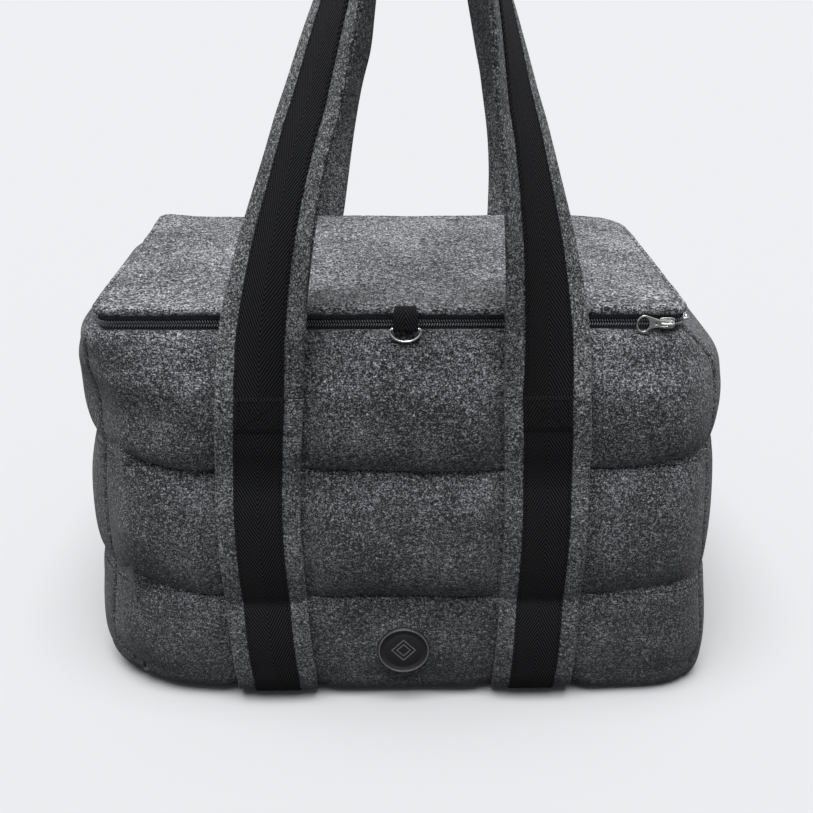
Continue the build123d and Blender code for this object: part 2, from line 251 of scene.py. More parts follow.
def calc(tree, operation, a, b=None, c=None, clamp=False):
    """A Math node. Its values are numbers or output sockets."""
    node = tree.nodes.new("ShaderNodeMath")
    node.operation = operation
    node.use_clamp = clamp
    for i, value in enumerate((a, b, c)):
        if value is None:
            continue
        if isinstance(value, (int, float)):
            node.inputs[i].default_value = value
        else:
            link(tree, value, node.inputs[i])
    return node.outputs[0]


def remap(tree, value, low, high, to_low=0.0, to_high=1.0):
    """A Map Range node from low..high to to_low..to_high, clamped."""
    node = tree.nodes.new("ShaderNodeMapRange")
    link(tree, value, node.inputs["Value"])
    node.inputs["From Min"].default_value = low
    node.inputs["From Max"].default_value = high
    node.inputs["To Min"].default_value = to_low
    node.inputs["To Max"].default_value = to_high
    return node.outputs["Result"]


def noise(tree, vector, scale, detail=3.0, roughness=0.6, stretch=None, turn=None):
    """A noise's value on a vector that may be turned and stretched first."""
    if stretch is not None:
        mapping = tree.nodes.new("ShaderNodeMapping")
        mapping.inputs["Scale"].default_value = stretch
        mapping.inputs["Rotation"].default_value = turn or (0, 0, 0)
        link(tree, vector, mapping.inputs["Vector"])
        vector = mapping.outputs["Vector"]
    node = tree.nodes.new("ShaderNodeTexNoise")
    link(tree, vector, node.inputs["Vector"])
    node.inputs["Scale"].default_value = scale
    node.inputs["Detail"].default_value = detail
    node.inputs["Roughness"].default_value = roughness
    return node.outputs["Fac"]


def mix_colour(tree, factor, a, b):
    """Blends two colours, each a tuple or a socket."""
    node = tree.nodes.new("ShaderNodeMix")
    node.data_type = "RGBA"
    for value, socket in ((factor, node.inputs[0]), (a, node.inputs[6]), (b, node.inputs[7])):
        if isinstance(value, tuple):
            socket.default_value = (*value, 1)
        elif isinstance(value, (int, float)):
            socket.default_value = value
        else:
            link(tree, value, socket)
    return node.outputs[2]


# %% The heather felt group
felt_group, felt_in, felt_out = new_group(
    "heather felt",
    [("Vector", "NodeSocketVector", None), ("Dark", "NodeSocketColor", (0.012, 0.013, 0.015, 1)),
     ("Pale", "NodeSocketColor", (0.42, 0.43, 0.46, 1)), ("Balance", "NodeSocketFloat", 0.5)],
    [("Colour", "NodeSocketColor"), ("Height", "NodeSocketFloat")])
spot = felt_in.outputs["Vector"]
speckle = noise(felt_group, spot, 780.0, 2.5, 0.7)
clump = noise(felt_group, spot, 300.0, 2.0, 0.5)
hair_one = noise(felt_group, spot, 1250.0, 1.0, 0.5, stretch=(1, 0.22, 1), turn=(0.3, 0.5, 0.6))
hair_two = noise(felt_group, spot, 1250.0, 1.0, 0.5, stretch=(0.22, 1, 0.5), turn=(0.9, 0.2, 2.1))
cloud = noise(felt_group, spot, 26.0, 2.0, 0.5)
hairs = calc(felt_group, "MAXIMUM", hair_one, hair_two)
mixed = calc(felt_group, "MULTIPLY_ADD", clump, 0.26, calc(felt_group, "MULTIPLY", speckle, 0.89))
mixed = calc(felt_group, "MULTIPLY_ADD", hairs, 0.45, mixed)
mixed = calc(felt_group, "MULTIPLY_ADD", cloud, 0.14, mixed)
shifted = calc(felt_group, "ADD", mixed, felt_in.outputs["Balance"])
tone = remap(felt_group, shifted, 1.24, 1.57)
tone = calc(felt_group, "POWER", tone, 1.75)
low_place = felt_group.nodes.new("ShaderNodeSeparateXYZ")
link(felt_group, spot, low_place.inputs[0])
# Painted shade: the felt's colour darkens towards the floor, standing in for the shade low on the walls.
low_painted_shade = remap(felt_group, low_place.outputs["Z"], 0.02, 0.30, 0.55, 1.04)
tone = calc(felt_group, "MULTIPLY", tone, low_painted_shade)
link(felt_group, mix_colour(felt_group, tone, felt_in.outputs["Dark"], felt_in.outputs["Pale"]),
     felt_out.inputs["Colour"])
height = calc(felt_group, "MULTIPLY_ADD", hairs, 0.5, calc(felt_group, "MULTIPLY", clump, 0.9))
link(felt_group, height, felt_out.inputs["Height"])


def new_material(name, roughness, **constants):
    """A Principled material. Constants are set on the shader's own sockets."""
    material = bpy.data.materials.new(name)
    material.use_nodes = True
    shader = material.node_tree.nodes["Principled BSDF"]
    shader.inputs["Roughness"].default_value = roughness
    for label, value in constants.items():
        shader.inputs[label.replace("_", " ")].default_value = value
    return material, material.node_tree, shader


def place_group(tree, group, vector_kind="Object", size=1.0, **values):
    """Puts a shader group in a material, fed by Object coordinates or by the piece's own UV map."""
    node = tree.nodes.new("ShaderNodeGroup")
    node.node_tree = group
    if vector_kind == "Object":
        source = tree.nodes.new("ShaderNodeTexCoord").outputs["Object"]
    else:
        uv = tree.nodes.new("ShaderNodeUVMap")
        uv.uv_map = "UVMap"
        source = uv.outputs["UV"]
    if size != 1.0:
        mapping = tree.nodes.new("ShaderNodeMapping")
        mapping.inputs["Scale"].default_value = (1 / size, 1 / size, 1)
        link(tree, source, mapping.inputs["Vector"])
        source = mapping.outputs["Vector"]
    link(tree, source, node.inputs["Vector"])
    for label, value in values.items():
        node.inputs[label.replace("_", " ")].default_value = value
    return node


def add_bump(tree, shader, height, distance, strength=1.0):
    """A bump from a height to the shader's normal. The distance is in metres."""
    bump = tree.nodes.new("ShaderNodeBump")
    bump.inputs["Distance"].default_value = distance
    bump.inputs["Strength"].default_value = strength
    link(tree, height, bump.inputs["Height"])
    link(tree, bump.outputs["Normal"], shader.inputs["Normal"])


def felt_material(name, balance, pale, size=1.0):
    """One tone of the felt. A larger size makes its speckle coarser."""
    material, tree, shader = new_material(name, 0.95)
    shader.inputs["Specular IOR Level"].default_value = 0.15
    shader.inputs["Sheen Weight"].default_value = 0.12
    shader.inputs["Sheen Roughness"].default_value = 0.6
    node = place_group(tree, felt_group, size=size, Balance=balance, Pale=pale)
    link(tree, node.outputs["Colour"], shader.inputs["Base Color"])
    add_bump(tree, shader, node.outputs["Height"], 0.0011, 0.9)
    return material


wall_felt = felt_material("wall felt", 0.43, (0.62, 0.63, 0.67, 1))
# Painted light: the lid's felt is the walls' felt painted paler, standing in for the overhead light on the
# top.
lid_felt_painted_paler = felt_material("lid felt painted paler", 0.462, (0.70, 0.71, 0.75, 1), 1.5)
# Painted light: the straps' felt is painted a little paler than the walls', standing in for the light on
# their faces.
strap_felt = felt_material("strap felt painted paler", 0.45, (0.64, 0.65, 0.68, 1))
print("three tones of felt from one group of", len(felt_group.nodes), "nodes")

# %% [markdown]
# ## Black webbing
# The webbing is a narrow herringbone tape: fine ribs climb from the middle line to both edges. The pattern
# has to follow the strap as it turns, so it is drawn on the strap's own UV map, which is measured in metres
# across and along the tape. A stripe whose phase grows with the distance from the middle line makes the V.

# %% The herringbone group
herringbone, bone_in, bone_out = new_group(
    "herringbone",
    [("Vector", "NodeSocketVector", None), ("Rib", "NodeSocketFloat", 0.0021),
     ("Rise", "NodeSocketFloat", 0.5)],
    [("Height", "NodeSocketFloat"), ("Worn", "NodeSocketFloat")])
parts = herringbone.nodes.new("ShaderNodeSeparateXYZ")
link(herringbone, bone_in.outputs["Vector"], parts.inputs[0])
from_middle = calc(herringbone, "ABSOLUTE", parts.outputs["X"])
along = calc(herringbone, "MULTIPLY", parts.outputs["Y"], bone_in.outputs["Rise"])
phase = calc(herringbone, "SUBTRACT", calc(herringbone, "MULTIPLY", from_middle, 0.866), along)
phase = calc(herringbone, "DIVIDE", phase, bone_in.outputs["Rib"])
rib = calc(herringbone, "SINE", calc(herringbone, "MULTIPLY", phase, 2 * pi))
yarn = noise(herringbone, bone_in.outputs["Vector"], 1500.0, 2.0, 0.6)
worn = noise(herringbone, bone_in.outputs["Vector"], 60.0, 3.0, 0.6)
link(herringbone, calc(herringbone, "MULTIPLY_ADD", rib, 0.5, yarn), bone_out.inputs["Height"])
link(herringbone, worn, bone_out.inputs["Worn"])


def webbing_material(name, rise):
    """Black webbing whose ribs climb outwards for a positive rise."""
    material, tree, shader = new_material(name, 0.62)
    shader.inputs["Specular IOR Level"].default_value = 0.10
    node = place_group(tree, herringbone, "UV", Rise=rise)
    # Painted shade and highlight: the colour is darkest in the ribs' grooves and palest on their crests, so
    # the black tape's weave reads as lit.
    rib_painted_shade = remap(tree, node.outputs["Height"], 0.15, 0.95)
    colour = mix_colour(tree, rib_painted_shade, (0.0008, 0.0008, 0.0010), (0.030, 0.0305, 0.033))
    worn_share = remap(tree, node.outputs["Worn"], 0.45, 0.75, 0.0, 0.25)
    link(tree, mix_colour(tree, worn_share, colour, (0.016, 0.016, 0.018)), shader.inputs["Base Color"])
    add_bump(tree, shader, node.outputs["Height"], 0.0007, 0.9)
    return material


webbing_up = webbing_material("webbing ribs up", 0.5)
webbing_down = webbing_material("webbing ribs down", -0.5)
print(webbing_up.name, "and", webbing_down.name)

# %% [markdown]
# The floor is seen pale by the camera, but is made darker for the light that bounces, so that it doesn't
# lift the shade under the bag. Light Path tells the two kinds of ray apart.

# %% The floor
floor_material, floor_tree, floor_shader = new_material("pale floor", 0.9)
floor_tone = mix_colour(floor_tree, floor_tree.nodes.new("ShaderNodeLightPath").outputs["Is Camera Ray"],
                        (0.10, 0.10, 0.105), (0.60, 0.605, 0.62))
link(floor_tree, floor_tone, floor_shader.inputs["Base Color"])
floor_shader.inputs["Specular IOR Level"].default_value = 0.0
floor_half = 20.0
floor_corners = [(-floor_half, -floor_half, 0), (floor_half, -floor_half, 0),
                 (floor_half, floor_half, 0), (-floor_half, floor_half, 0)]
floor = new_object("floor", floor_corners, [(0, 1, 2, 3)], floor_material)
print(floor.name, 2 * floor_half, "m across")

# %% [markdown]
# ## The quilted walls
# Each wall is felt outside, lining inside and wadding between, sewn through along two lines, so it is three
# fat rolls one above the other. Seen from above the soft box is a superellipse: nearly square at the zip,
# rounder below, because nothing stiff holds the corners out. Every row of the wall is one such outline,
# cut into four panels at the upright seams. The rolls are added on top as a bulge that dies away at the
# seams and under the straps. Below its rim the body stands a little to the right of the lid.

# %% Heights of the wall
rim_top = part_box("rim_binding")[1].z
upper_seam = 228 * MM
lower_seam = 107 * MM
foot_radius = 26 * MM
floor_gap = 1.0 * MM
strap_step = 6.8 * MM
lining_gap = 0.4 * MM
inner_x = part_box("right_lining")[1].x + lining_gap
inner_y = -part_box("front_lining")[0].y + lining_gap
print("rim at", round(rim_top, 4), "lining stands at", round(inner_x, 4), round(inner_y, 4))


def lean(z):
    """How far the body stands to the right of the lid at a height."""
    return 8 * MM * smooth((303 * MM - z) / (95 * MM))


def half_left(z):
    """From the middle plane to the left wall at its seams."""
    return between(z, [0, 12 * MM, lower_seam, upper_seam, 0.290, 0.325, 0.338, rim_top],
                   [0.262, 0.270, 0.276, 0.271, 0.262, 0.257, 0.252, 0.241])


def half_right(z):
    """From the middle plane to the right wall at its seams."""
    return between(z, [0, 12 * MM, lower_seam, upper_seam, 0.290, 0.322, 0.335, rim_top],
                   [0.276, 0.278, 0.2730, 0.2720, 0.276, 0.264, 0.249, 0.236])


def half_face(z):
    """From the middle plane to the front or back wall at its seams."""
    return between(z, [0, 12 * MM, lower_seam, upper_seam, 0.290, 0.322, 0.338, rim_top],
                   [0.154, 0.157, 0.161, 0.161, 0.161, 0.158, 0.154, 0.149])


def squareness(z, side):
    """The superellipse's exponent: high is square, 2 would be an ellipse. The right side stands squarer."""
    values = [5.0, 4.3, 4.1, 5.0, 9.0, 14.0] if side < 0 else [9.0, 8.5, 6.0, 6.5, 9.0, 14.0]
    return between(z, [0, 0.060, upper_seam, 0.300, 0.330, rim_top], values)


# %% The outline at one height
PANELS = ["front", "right", "back", "left"]
seam_turn = radians(29)
lower_corner = 45 * MM


def panel_ends(panel, z):
    """Where a panel starts and ends on the outline, as angles. Low down the front and back panels are cut
    round, and the side panels run in under them."""
    swing = seam_turn + radians(22) * smooth((52 * MM - z) / lower_corner)
    return {
        "right": (-swing, swing),
        "back": (swing, pi - swing),
        "left": (pi - swing, pi + swing),
        "front": (pi + swing, 2 * pi - swing),
    }[panel]


def outline_row(panel, z, shares):
    """Points of one panel at one height, at even shares of the arc from its first seam to its last, with
    the outward direction at each."""
    start, end = panel_ends(panel, z)
    turn = np.linspace(start, end, 900)
    c, s = np.cos(turn), np.sin(turn)
    exponent = np.where(c > 0, float(squareness(z, 1)), float(squareness(z, -1)))
    half = np.where(c > 0, float(half_right(z)), float(half_left(z)))
    face = float(half_face(z))
    share_x, share_y = np.abs(c) ** (2 / exponent), np.abs(s) ** (2 / exponent)
    x, y = np.sign(c) * share_x * half, np.sign(s) * share_y * face
    out_x = np.sign(c) * share_x ** (exponent - 1) / half
    out_y = np.sign(s) * share_y ** (exponent - 1) / face
    size = np.hypot(out_x, out_y)
    length = np.concatenate([[0], np.cumsum(np.hypot(np.diff(x), np.diff(y)))])
    wanted = np.asarray(shares) * length[-1]
    line = [np.interp(wanted, length, v) for v in (x, y, out_x / size, out_y / size)]
    return line, wanted, length[-1]


# %% [markdown]
# The bulge of a roll is steep beside the seam and flat at its crest, and it hangs: gravity pulls the
# wadding down, so the crest is below the middle of the channel. The seam is a narrow valley. Its stitches
# pull small puckers into the felt, and the whole wall has slow hollows where the wadding is uneven.

# %% The rolls
badge_height = (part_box("badge")[0].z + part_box("badge")[1].z) / 2
badge_face = 170 * MM
# Each channel's lower and upper seam, and where its crest is between them.
CHANNELS = [(lower_seam - 100 * MM, lower_seam, 0.52), (lower_seam, upper_seam, 0.46),
            (upper_seam, rim_top - 4 * MM, 0.36)]
BULGE = {"front": 16.0 * MM, "back": 16.0 * MM, "left": 11.0 * MM, "right": 9.0 * MM}
SEAM_BULGE = 4.5 * MM
SEED = {"front": 11, "right": 23, "back": 37, "left": 51}


def roll(z):
    """The bulge of the channels at a height, from 0 at a seam to 1 at a crest."""
    z = np.asarray(z, float)
    total = np.zeros_like(z)
    for low, high, peak in CHANNELS:
        t = (z - low) / (high - low)
        inside = (t > 0) & (t < 1)
        below = np.clip(1 - t / peak, 0, 1)
        above = np.clip((t - peak) / (1 - peak), 0, 1)
        shape = np.where(t < peak, (1 - below ** 2.3) ** 0.62, (1 - above ** 2.0) ** 0.72)
        total = np.where(inside, shape, total)
    return total


LEFT_STRAP = [-0.104, -0.110, -0.1125, -0.1085, -0.1065]
RIGHT_STRAP = [0.1225, 0.1255, 0.1265, 0.1235, 0.1215]


def strap_place(z, side):
    """The middle of a sewn strap at a height. side is -1 for the left strap and 1 for the right."""
    return between(z, [0.020, lower_seam, 0.205, 0.274, 0.300], LEFT_STRAP if side < 0 else RIGHT_STRAP)


def strap_cover(x, z):
    """1 under a strap, 0 well away from both."""
    away = np.minimum(np.abs(x - strap_place(z, -1)), np.abs(x - strap_place(z, 1)))
    return 1 - smooth((away - 34 * MM) / (26 * MM))


def strap_line(z):
    """How far the sewn strap's inner face stands off the middle plane."""
    z = np.asarray(z, float)
    window = np.linspace(-16 * MM, 16 * MM, 9)
    soft = sum(half_face(z + w) + 7.5 * MM * roll(z + w) for w in window) / len(window)
    soft = soft - 2.4 * MM * np.exp(-((z - lower_seam + 2 * MM) / (6 * MM)) ** 2)
    held = 170 * MM
    return soft + (held - soft) * smooth((z - 262 * MM) / (30 * MM))


# %% Rows of the walls and the base's line
channel_shares = 0.5 - 0.5 * np.cos(np.linspace(0, pi, 27))
foot_turns = np.linspace(pi / 2, 0, 9)


def wall_heights():
    """Heights of the wall's rows from the foot to the rim."""
    starts = [foot_radius, lower_seam, upper_seam]
    ends = [lower_seam, upper_seam, rim_top - 4 * MM]
    heights = []
    for low, high in zip(starts, ends):
        heights.extend(list(low + (high - low) * channel_shares[:-1]))
    heights.append(ends[-1])
    return heights


def base_height(x):
    """The height of the base's outer felt: it sags to the floor between the straps, and rests on them."""
    away = np.minimum(np.abs(x - strap_place(0, -1)), np.abs(x - strap_place(0, 1)))
    on_strap = 1 - smooth((away - 36 * MM) / (16 * MM))
    return floor_gap + (strap_step - floor_gap + 0.2 * MM) * on_strap


print(len(wall_heights()), "rows from the foot to the rim")

# %% One wall's outer face
def wall_grid(panel, columns):
    """The outer face of one wall, as an array of rows by columns of points, from the foot to the rim."""
    shares = 0.5 - 0.5 * np.cos(np.linspace(0, pi, columns)) * 0.25 - 0.375 * np.linspace(1, -1, columns)
    seed = SEED[panel]
    is_face = panel in ("front", "back")
    rows, outs = [], []
    for z in wall_heights():
        (x, y, out_x, out_y), run, length = outline_row(panel, z, shares)
        edge = np.minimum(run, length - run)
        middle = run - length / 2
        wander = 3.6 * MM * ripple(middle / 0.19, z / 0.3, seed) * (1 - smooth((z - 0.31) / 0.03))
        wander = wander * smooth(edge / 0.04)
        rise = 8 * MM * (1 - smooth(edge / 0.11)) * (1 - smooth((z - 0.27) / 0.05))
        heights = z + wander - rise
        shape = roll(heights)
        uneven = 1 + 0.22 * ripple(middle / 0.13, z / 0.16, seed + 1)
        full = smooth(edge / (46 * MM))
        bulge = shape * (SEAM_BULGE + (BULGE[panel] * uneven - SEAM_BULGE) * full)
        bulge = bulge * (1 - 0.58 * smooth((0.125 - z) / 0.05))
        if panel == "front":
            bulge = bulge * (1 - 0.35 * smooth((z - 0.300) / 0.02))
        hollow = 1.6 * MM * ripple(middle / 0.085, z / 0.07, seed + 2) * smooth(edge / 0.03)
        hollow = hollow * (1 - smooth((z - 0.315) / 0.02))
        to_seam = np.minimum(np.abs(heights - lower_seam), np.abs(heights - upper_seam))
        near_seam = np.exp(-to_seam / (9 * MM))
        pucker = 0.55 * MM * np.sin(2 * pi * middle / (17 * MM) + 4 * ripple(middle / 0.06, 0.3, seed + 3))
        push = bulge + hollow + pucker * near_seam * (0.4 + 0.6 * shape) * smooth(edge / (20 * MM))
        push = push - 1.4 * MM * np.exp(-(edge / (2.2 * MM)) ** 2)
        x = x + out_x * push
        y = y + out_y * push
        if is_face:
            cover = strap_cover(x + lean(z), z)
            limit = strap_line(z) - 0.5 * MM
            pressed = np.minimum(np.abs(y), limit)
            y = np.sign(y) * (np.abs(y) + (pressed - np.abs(y)) * cover)
            stands = x + lean(z)
            away = np.minimum(np.abs(stands - strap_place(z, -1)), np.abs(stands - strap_place(z, 1)))
            tuck = np.exp(-((away - 38 * MM) / (6 * MM)) ** 2) * smooth((305 * MM - z) / 0.01)
            y = y - np.sign(y) * 2.2 * MM * tuck
        if panel == "front":
            from_badge = np.hypot(x + lean(z) - lean(badge_height), z - badge_height)
            flat = 1 - smooth((from_badge - 20 * MM) / (14 * MM))
            y = y + (-badge_face - y) * flat
        lift = np.zeros_like(x)
        if panel == "left":
            lift = 7 * MM * smooth((z - 0.322) / 0.02) * smooth(edge / (55 * MM) + 0.35)
        if panel == "front":
            lift = 2.6 * MM * smooth((z - 0.330) / 0.01) * smooth((0.185 - x) / 0.02)
        rows.append(np.stack([x + lean(z), y, np.full_like(x, z) + lift], axis=1))
        outs.append(np.stack([out_x, out_y], axis=1))
    rows = foot_rows(rows[0], outs[0]) + rows
    return np.array(rows + lip_rows(rows[-1], outs[-1]))


# %% The foot and the lip of a wall
def foot_rows(start_row, outs):
    """The rounding from the wall to the base."""
    radius = between(start_row[:, 0], [-0.26, -0.15, 0.15, 0.28], [28 * MM, 25 * MM, 21 * MM, 12 * MM])
    in_x, in_y = -outs[:, 0], -outs[:, 1]
    rows = []
    for turn in foot_turns[:-1]:
        inward = radius * (1 - cos(turn))
        x = start_row[:, 0] + in_x * inward
        y = start_row[:, 1] + in_y * inward
        base = base_height(x)
        z = base + (start_row[:, 2] - base) * (1 - sin(turn))
        rows.append(np.stack([x, y, z], axis=1))
    under = rows[0].copy()
    under[:, 0] += in_x * 6 * MM
    under[:, 1] += in_y * 6 * MM
    under[:, 2] = base_height(under[:, 0]) + 0.4 * MM
    return [under] + rows


lip_width = 9 * MM


def lip_rows(top_row, outs):
    """The rolled top edge of the wall, from the last row in over the binding to the lining."""
    in_x, in_y = -outs[:, 0], -outs[:, 1]
    rows = []
    for share in (0.12, 0.32, 0.58, 0.82, 1.0):
        x = top_row[:, 0] + in_x * lip_width * share
        y = top_row[:, 1] + in_y * lip_width * share
        lifted = np.clip(top_row[:, 2] + 3.4 * MM * sin(pi / 2 * min(1.0, share * 1.9)), 0, None)
        z = lifted + (rim_top - lifted) * smooth((share - 0.3) / 0.7)
        rows.append(np.stack([x, y, z], axis=1))
    return rows


# %% The inner face and the closed pad
def inner_grid(outer):
    """The wall's inner face: the same rows and columns pressed flat against the lining."""
    inner = outer.copy()
    inner[:, :, 0] = np.clip(inner[:, :, 0], -inner_x, inner_x)
    inner[:, :, 1] = np.clip(inner[:, :, 1], -inner_y, inner_y)
    floor_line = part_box("base_panel")[1].z
    inner[:, :, 2] = np.clip(inner[:, :, 2], floor_line, rim_top - 0.6 * MM)
    return inner


def push_to_lining(panel, outer):
    """Inner points on the lining's plane for this wall, or just behind the felt where the round foot of a
    corner cuts inside that plane."""
    inner = inner_grid(outer)
    x, y, z = np.abs(outer[:, :, 0]), np.abs(outer[:, :, 1]), outer[:, :, 2]
    if panel in ("front", "back"):
        at_corner = (x > 205 * MM) & (z < 45 * MM)
        depth = np.where(at_corner, np.minimum(inner_y, y - 4 * MM), inner_y)
        inner[:, :, 1] = (-1 if panel == "front" else 1) * depth
    else:
        at_corner = (y > 95 * MM) & (z < 45 * MM)
        depth = np.where(at_corner, np.minimum(inner_x, x - 4 * MM), inner_x)
        inner[:, :, 0] = (-1 if panel == "left" else 1) * depth
    return inner


def closed_pad(name, outer, inner, material):
    """A closed pad from two grids of the same size."""
    rows, columns = outer.shape[:2]
    points = np.concatenate([outer.reshape(-1, 3), inner.reshape(-1, 3)])
    faces = grid_faces(rows, columns)
    back = [tuple(reversed(f)) for f in grid_faces(rows, columns, rows * columns)]
    rim = [(r, 0) for r in range(rows)] + [(rows - 1, c) for c in range(1, columns)]
    rim += [(r, columns - 1) for r in range(rows - 2, -1, -1)] + [(0, c) for c in range(columns - 2, 0, -1)]
    order = [r * columns + c for r, c in rim]
    shift = rows * columns
    band = []
    for i, here in enumerate(order):
        there = order[(i + 1) % len(order)]
        band.append((here, there, there + shift, here + shift))
    return face_out(new_object(name, points, faces + back + band, material))


# %% Build the walls
wall_columns = {"front": 96, "back": 96, "left": 56, "right": 56}
walls = {}
wall_grids = {}
for panel in PANELS:
    grid = wall_grid(panel, wall_columns[panel])
    wall_grids[panel] = grid
    pad = closed_pad(f"{panel}_quilted_wall", grid, push_to_lining(panel, grid), wall_felt)
    walls[panel] = pad
    print(pad.name, len(pad.data.vertices), "points")

# %% Dress the walls
held_rows = 12


def hold_foot_edges(pad, columns):
    """Crease the lowest part of a wall's two side edges, so that two neighbours still meet when smoothed."""
    crease = pad.data.attributes.new("crease_edge", "FLOAT", "EDGE")
    outer_count = len(pad.data.vertices) // 2
    for edge in pad.data.edges:
        spots = [divmod(v, columns) for v in edge.vertices]
        outside = max(edge.vertices) < outer_count
        on_side = spots[0][1] == spots[1][1] and spots[0][1] in (0, columns - 1)
        under = spots[0][0] == 0 and spots[1][0] == 0
        if outside and (under or (on_side and max(spots[0][0], spots[1][0]) <= held_rows)):
            crease.data[edge.index].value = 1.0


for panel, pad in walls.items():
    hold_foot_edges(pad, wall_columns[panel])
    finish_mesh(pad, ("SUBSURF", {"levels": 1, "render_levels": 1}))
    shell = "panel" if panel in ("front", "back") else "gusset"
    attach(pad, "root")
    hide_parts(f"{panel}_{shell}", f"{panel}_wadding", "rim_binding")
    print(pad.name, len(pad.data.polygons), "faces")

# %% [markdown]
# ## The base
# The base is one more padded panel, between the bottom edges of the four walls. It sags to the floor between
# the straps, which hold it up a little where they pass under it. It is made of rings of points that shrink
# from the walls' lowest row to the middle, once for the felt below and once for the flat face above.

# %% Build the base
base_loop = np.concatenate([wall_grids[panel][0, :-1] for panel in ("right", "back", "left", "front")])
base_centre = base_loop.mean(axis=0)
ring_scales = [1.0, 0.97, 0.92, 0.85, 0.75, 0.62, 0.48, 0.33, 0.18, 0.05]
board_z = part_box("base_board")[0].z
base_points = []
for scale in reversed(ring_scales):
    ring = base_centre + (base_loop - base_centre) * scale
    ring[:, 2] = base_height(ring[:, 0])
    base_points.append(ring)
edge_ring = base_centre + (base_loop - base_centre) * 0.985
edge_ring[:, 2] = base_height(edge_ring[:, 0]) + 3 * MM
base_points.append(edge_ring)
for scale in ring_scales:
    ring = base_centre + (base_loop - base_centre) * (scale * 0.96)
    ring[:, 0] = np.clip(ring[:, 0], -inner_x - 6 * MM, inner_x + 6 * MM)
    ring[:, 1] = np.clip(ring[:, 1], -inner_y, inner_y)
    ring[:, 2] = board_z - 0.4 * MM
    base_points.append(ring)
base_stack = np.array(base_points)
base_rows, base_columns = base_stack.shape[:2]
base_faces = grid_faces(base_rows, base_columns, closed_columns=True)
base_faces.append(tuple(range(base_columns)))
base_faces.append(tuple(range((base_rows - 1) * base_columns, base_rows * base_columns)))
quilted_base = face_out(new_object("quilted_base", base_stack.reshape(-1, 3), base_faces, wall_felt))
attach(quilted_base, "root")
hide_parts("base_panel", "base_wadding")
print(quilted_base.name, base_rows, "rings of", base_columns)

# %% [markdown]
# ## Straps and handles
# Each strap is two layers of felt, 70 mm wide, with a 40 mm webbing sewn along its middle. It starts under
# the handle's fold at the front, runs down the wall, under the base and up the back. A strap is a small cross
# section carried along a path, with its own across and outward directions at every point, so the same
# helper also makes the handles, which turn on edge as they rise. A simple flat box would lose the two rounded
# felt edges and the line between the layers.

# %% Sections of straps
def both_faces(side, flat, thickness):
    """A whole section from one edge's places and the across places of the flat face."""
    other_side = [(-a, b) for a, b in reversed(side)]
    return side + [(a, thickness) for a in flat] + other_side + [(a, 0.0) for a in -flat]


def felt_section(width, thickness):
    """Across and outward places round a two layer felt strap, with a groove along each cut edge."""
    half = width / 2
    edge = 1.6 * MM
    rise = [0.0, 0.06, 0.2, 0.36, 0.47, 0.5, 0.53, 0.64, 0.8, 0.94, 1.0]
    out = [0.0, 0.6, 0.95, 0.85, 0.45, 0.25, 0.45, 0.85, 0.95, 0.6, 0.0]
    side = [(half - edge + edge * o, thickness * r) for r, o in zip(rise, out)]
    return both_faces(side, np.linspace(half - edge, edge - half, 9)[1:-1], thickness)


def tape_section(width, thickness):
    """Across and outward places round a woven tape, a little thinner along its selvedges."""
    half = width / 2
    side = [(half - 1.2 * MM, 0.0), (half - 0.2 * MM, 0.25 * thickness), (half, 0.5 * thickness),
            (half - 0.2 * MM, 0.75 * thickness), (half - 1.2 * MM, thickness)]
    return both_faces(side, np.linspace(half - 1.2 * MM, 1.2 * MM - half, 9)[1:-1], thickness)


# %% Strap helper
cut_edge_angle = radians(52)


def lay_strap(name, path, across, outward, section, depth, material, rough=0.0, seed=1):
    """A strap whose inner face is depth outside the path. Its UV map is metres across and along."""
    path = np.asarray(path, float)
    section = np.array(section)
    run = np.concatenate([[0], np.cumsum(np.linalg.norm(np.diff(path, axis=0), axis=1))])
    points, uvs = [], []
    for i, (place, side, out) in enumerate(zip(path, across, outward)):
        waver = 1 + rough * ripple(run[i] / 0.05, 0.2, seed) / (section[:, 0].max() / MM)
        for a, b in section:
            points.append(place + side * a * waver + out * (depth + b))
            uvs.append((a, run[i]))
    count = len(section)
    faces = grid_faces(len(path), count, closed_columns=True)
    faces.append(tuple(range(count)))
    faces.append(tuple(range((len(path) - 1) * count, len(path) * count)))
    strap = face_out(new_object(name, points, faces, material, uvs))
    strap.data.set_sharp_from_angle(angle=cut_edge_angle)
    return strap


def spline(points, spacing):
    """A smooth line through points, at even spacing."""
    p = np.asarray(points, float)
    p = np.vstack([2 * p[0] - p[1], p, 2 * p[-1] - p[-2]])
    dense = []
    for a, b, c, d in zip(p[:-3], p[1:-2], p[2:-1], p[3:]):
        for t in np.linspace(0, 1, 24, endpoint=False):
            dense.append(0.5 * ((2 * b) + (c - a) * t + (2 * a - 5 * b + 4 * c - d) * t ** 2
                                + (3 * b - a - 3 * c + d) * t ** 3))
    dense = np.array(dense + [p[-2]])
    run = np.concatenate([[0], np.cumsum(np.linalg.norm(np.diff(dense, axis=0), axis=1))])
    even = np.linspace(0, run[-1], max(2, int(round(run[-1] / spacing)) + 1))
    return np.stack([np.interp(even, run, dense[:, k]) for k in range(dense.shape[1])], axis=1)


# %% Lay the sewn straps
felt_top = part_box("front_strap_felt")[1].z
lap_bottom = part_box("front_webbing_laps")[0].z
strap_felt_t = 5.0 * MM
webbing_t = 1.6 * MM
strap_width = 70 * MM
webbing_width = 40 * MM
strap_top = 300 * MM
strap_pitch_mm = 4.5
print("straps reach", round(felt_top, 4), "laps start at", round(lap_bottom, 4))


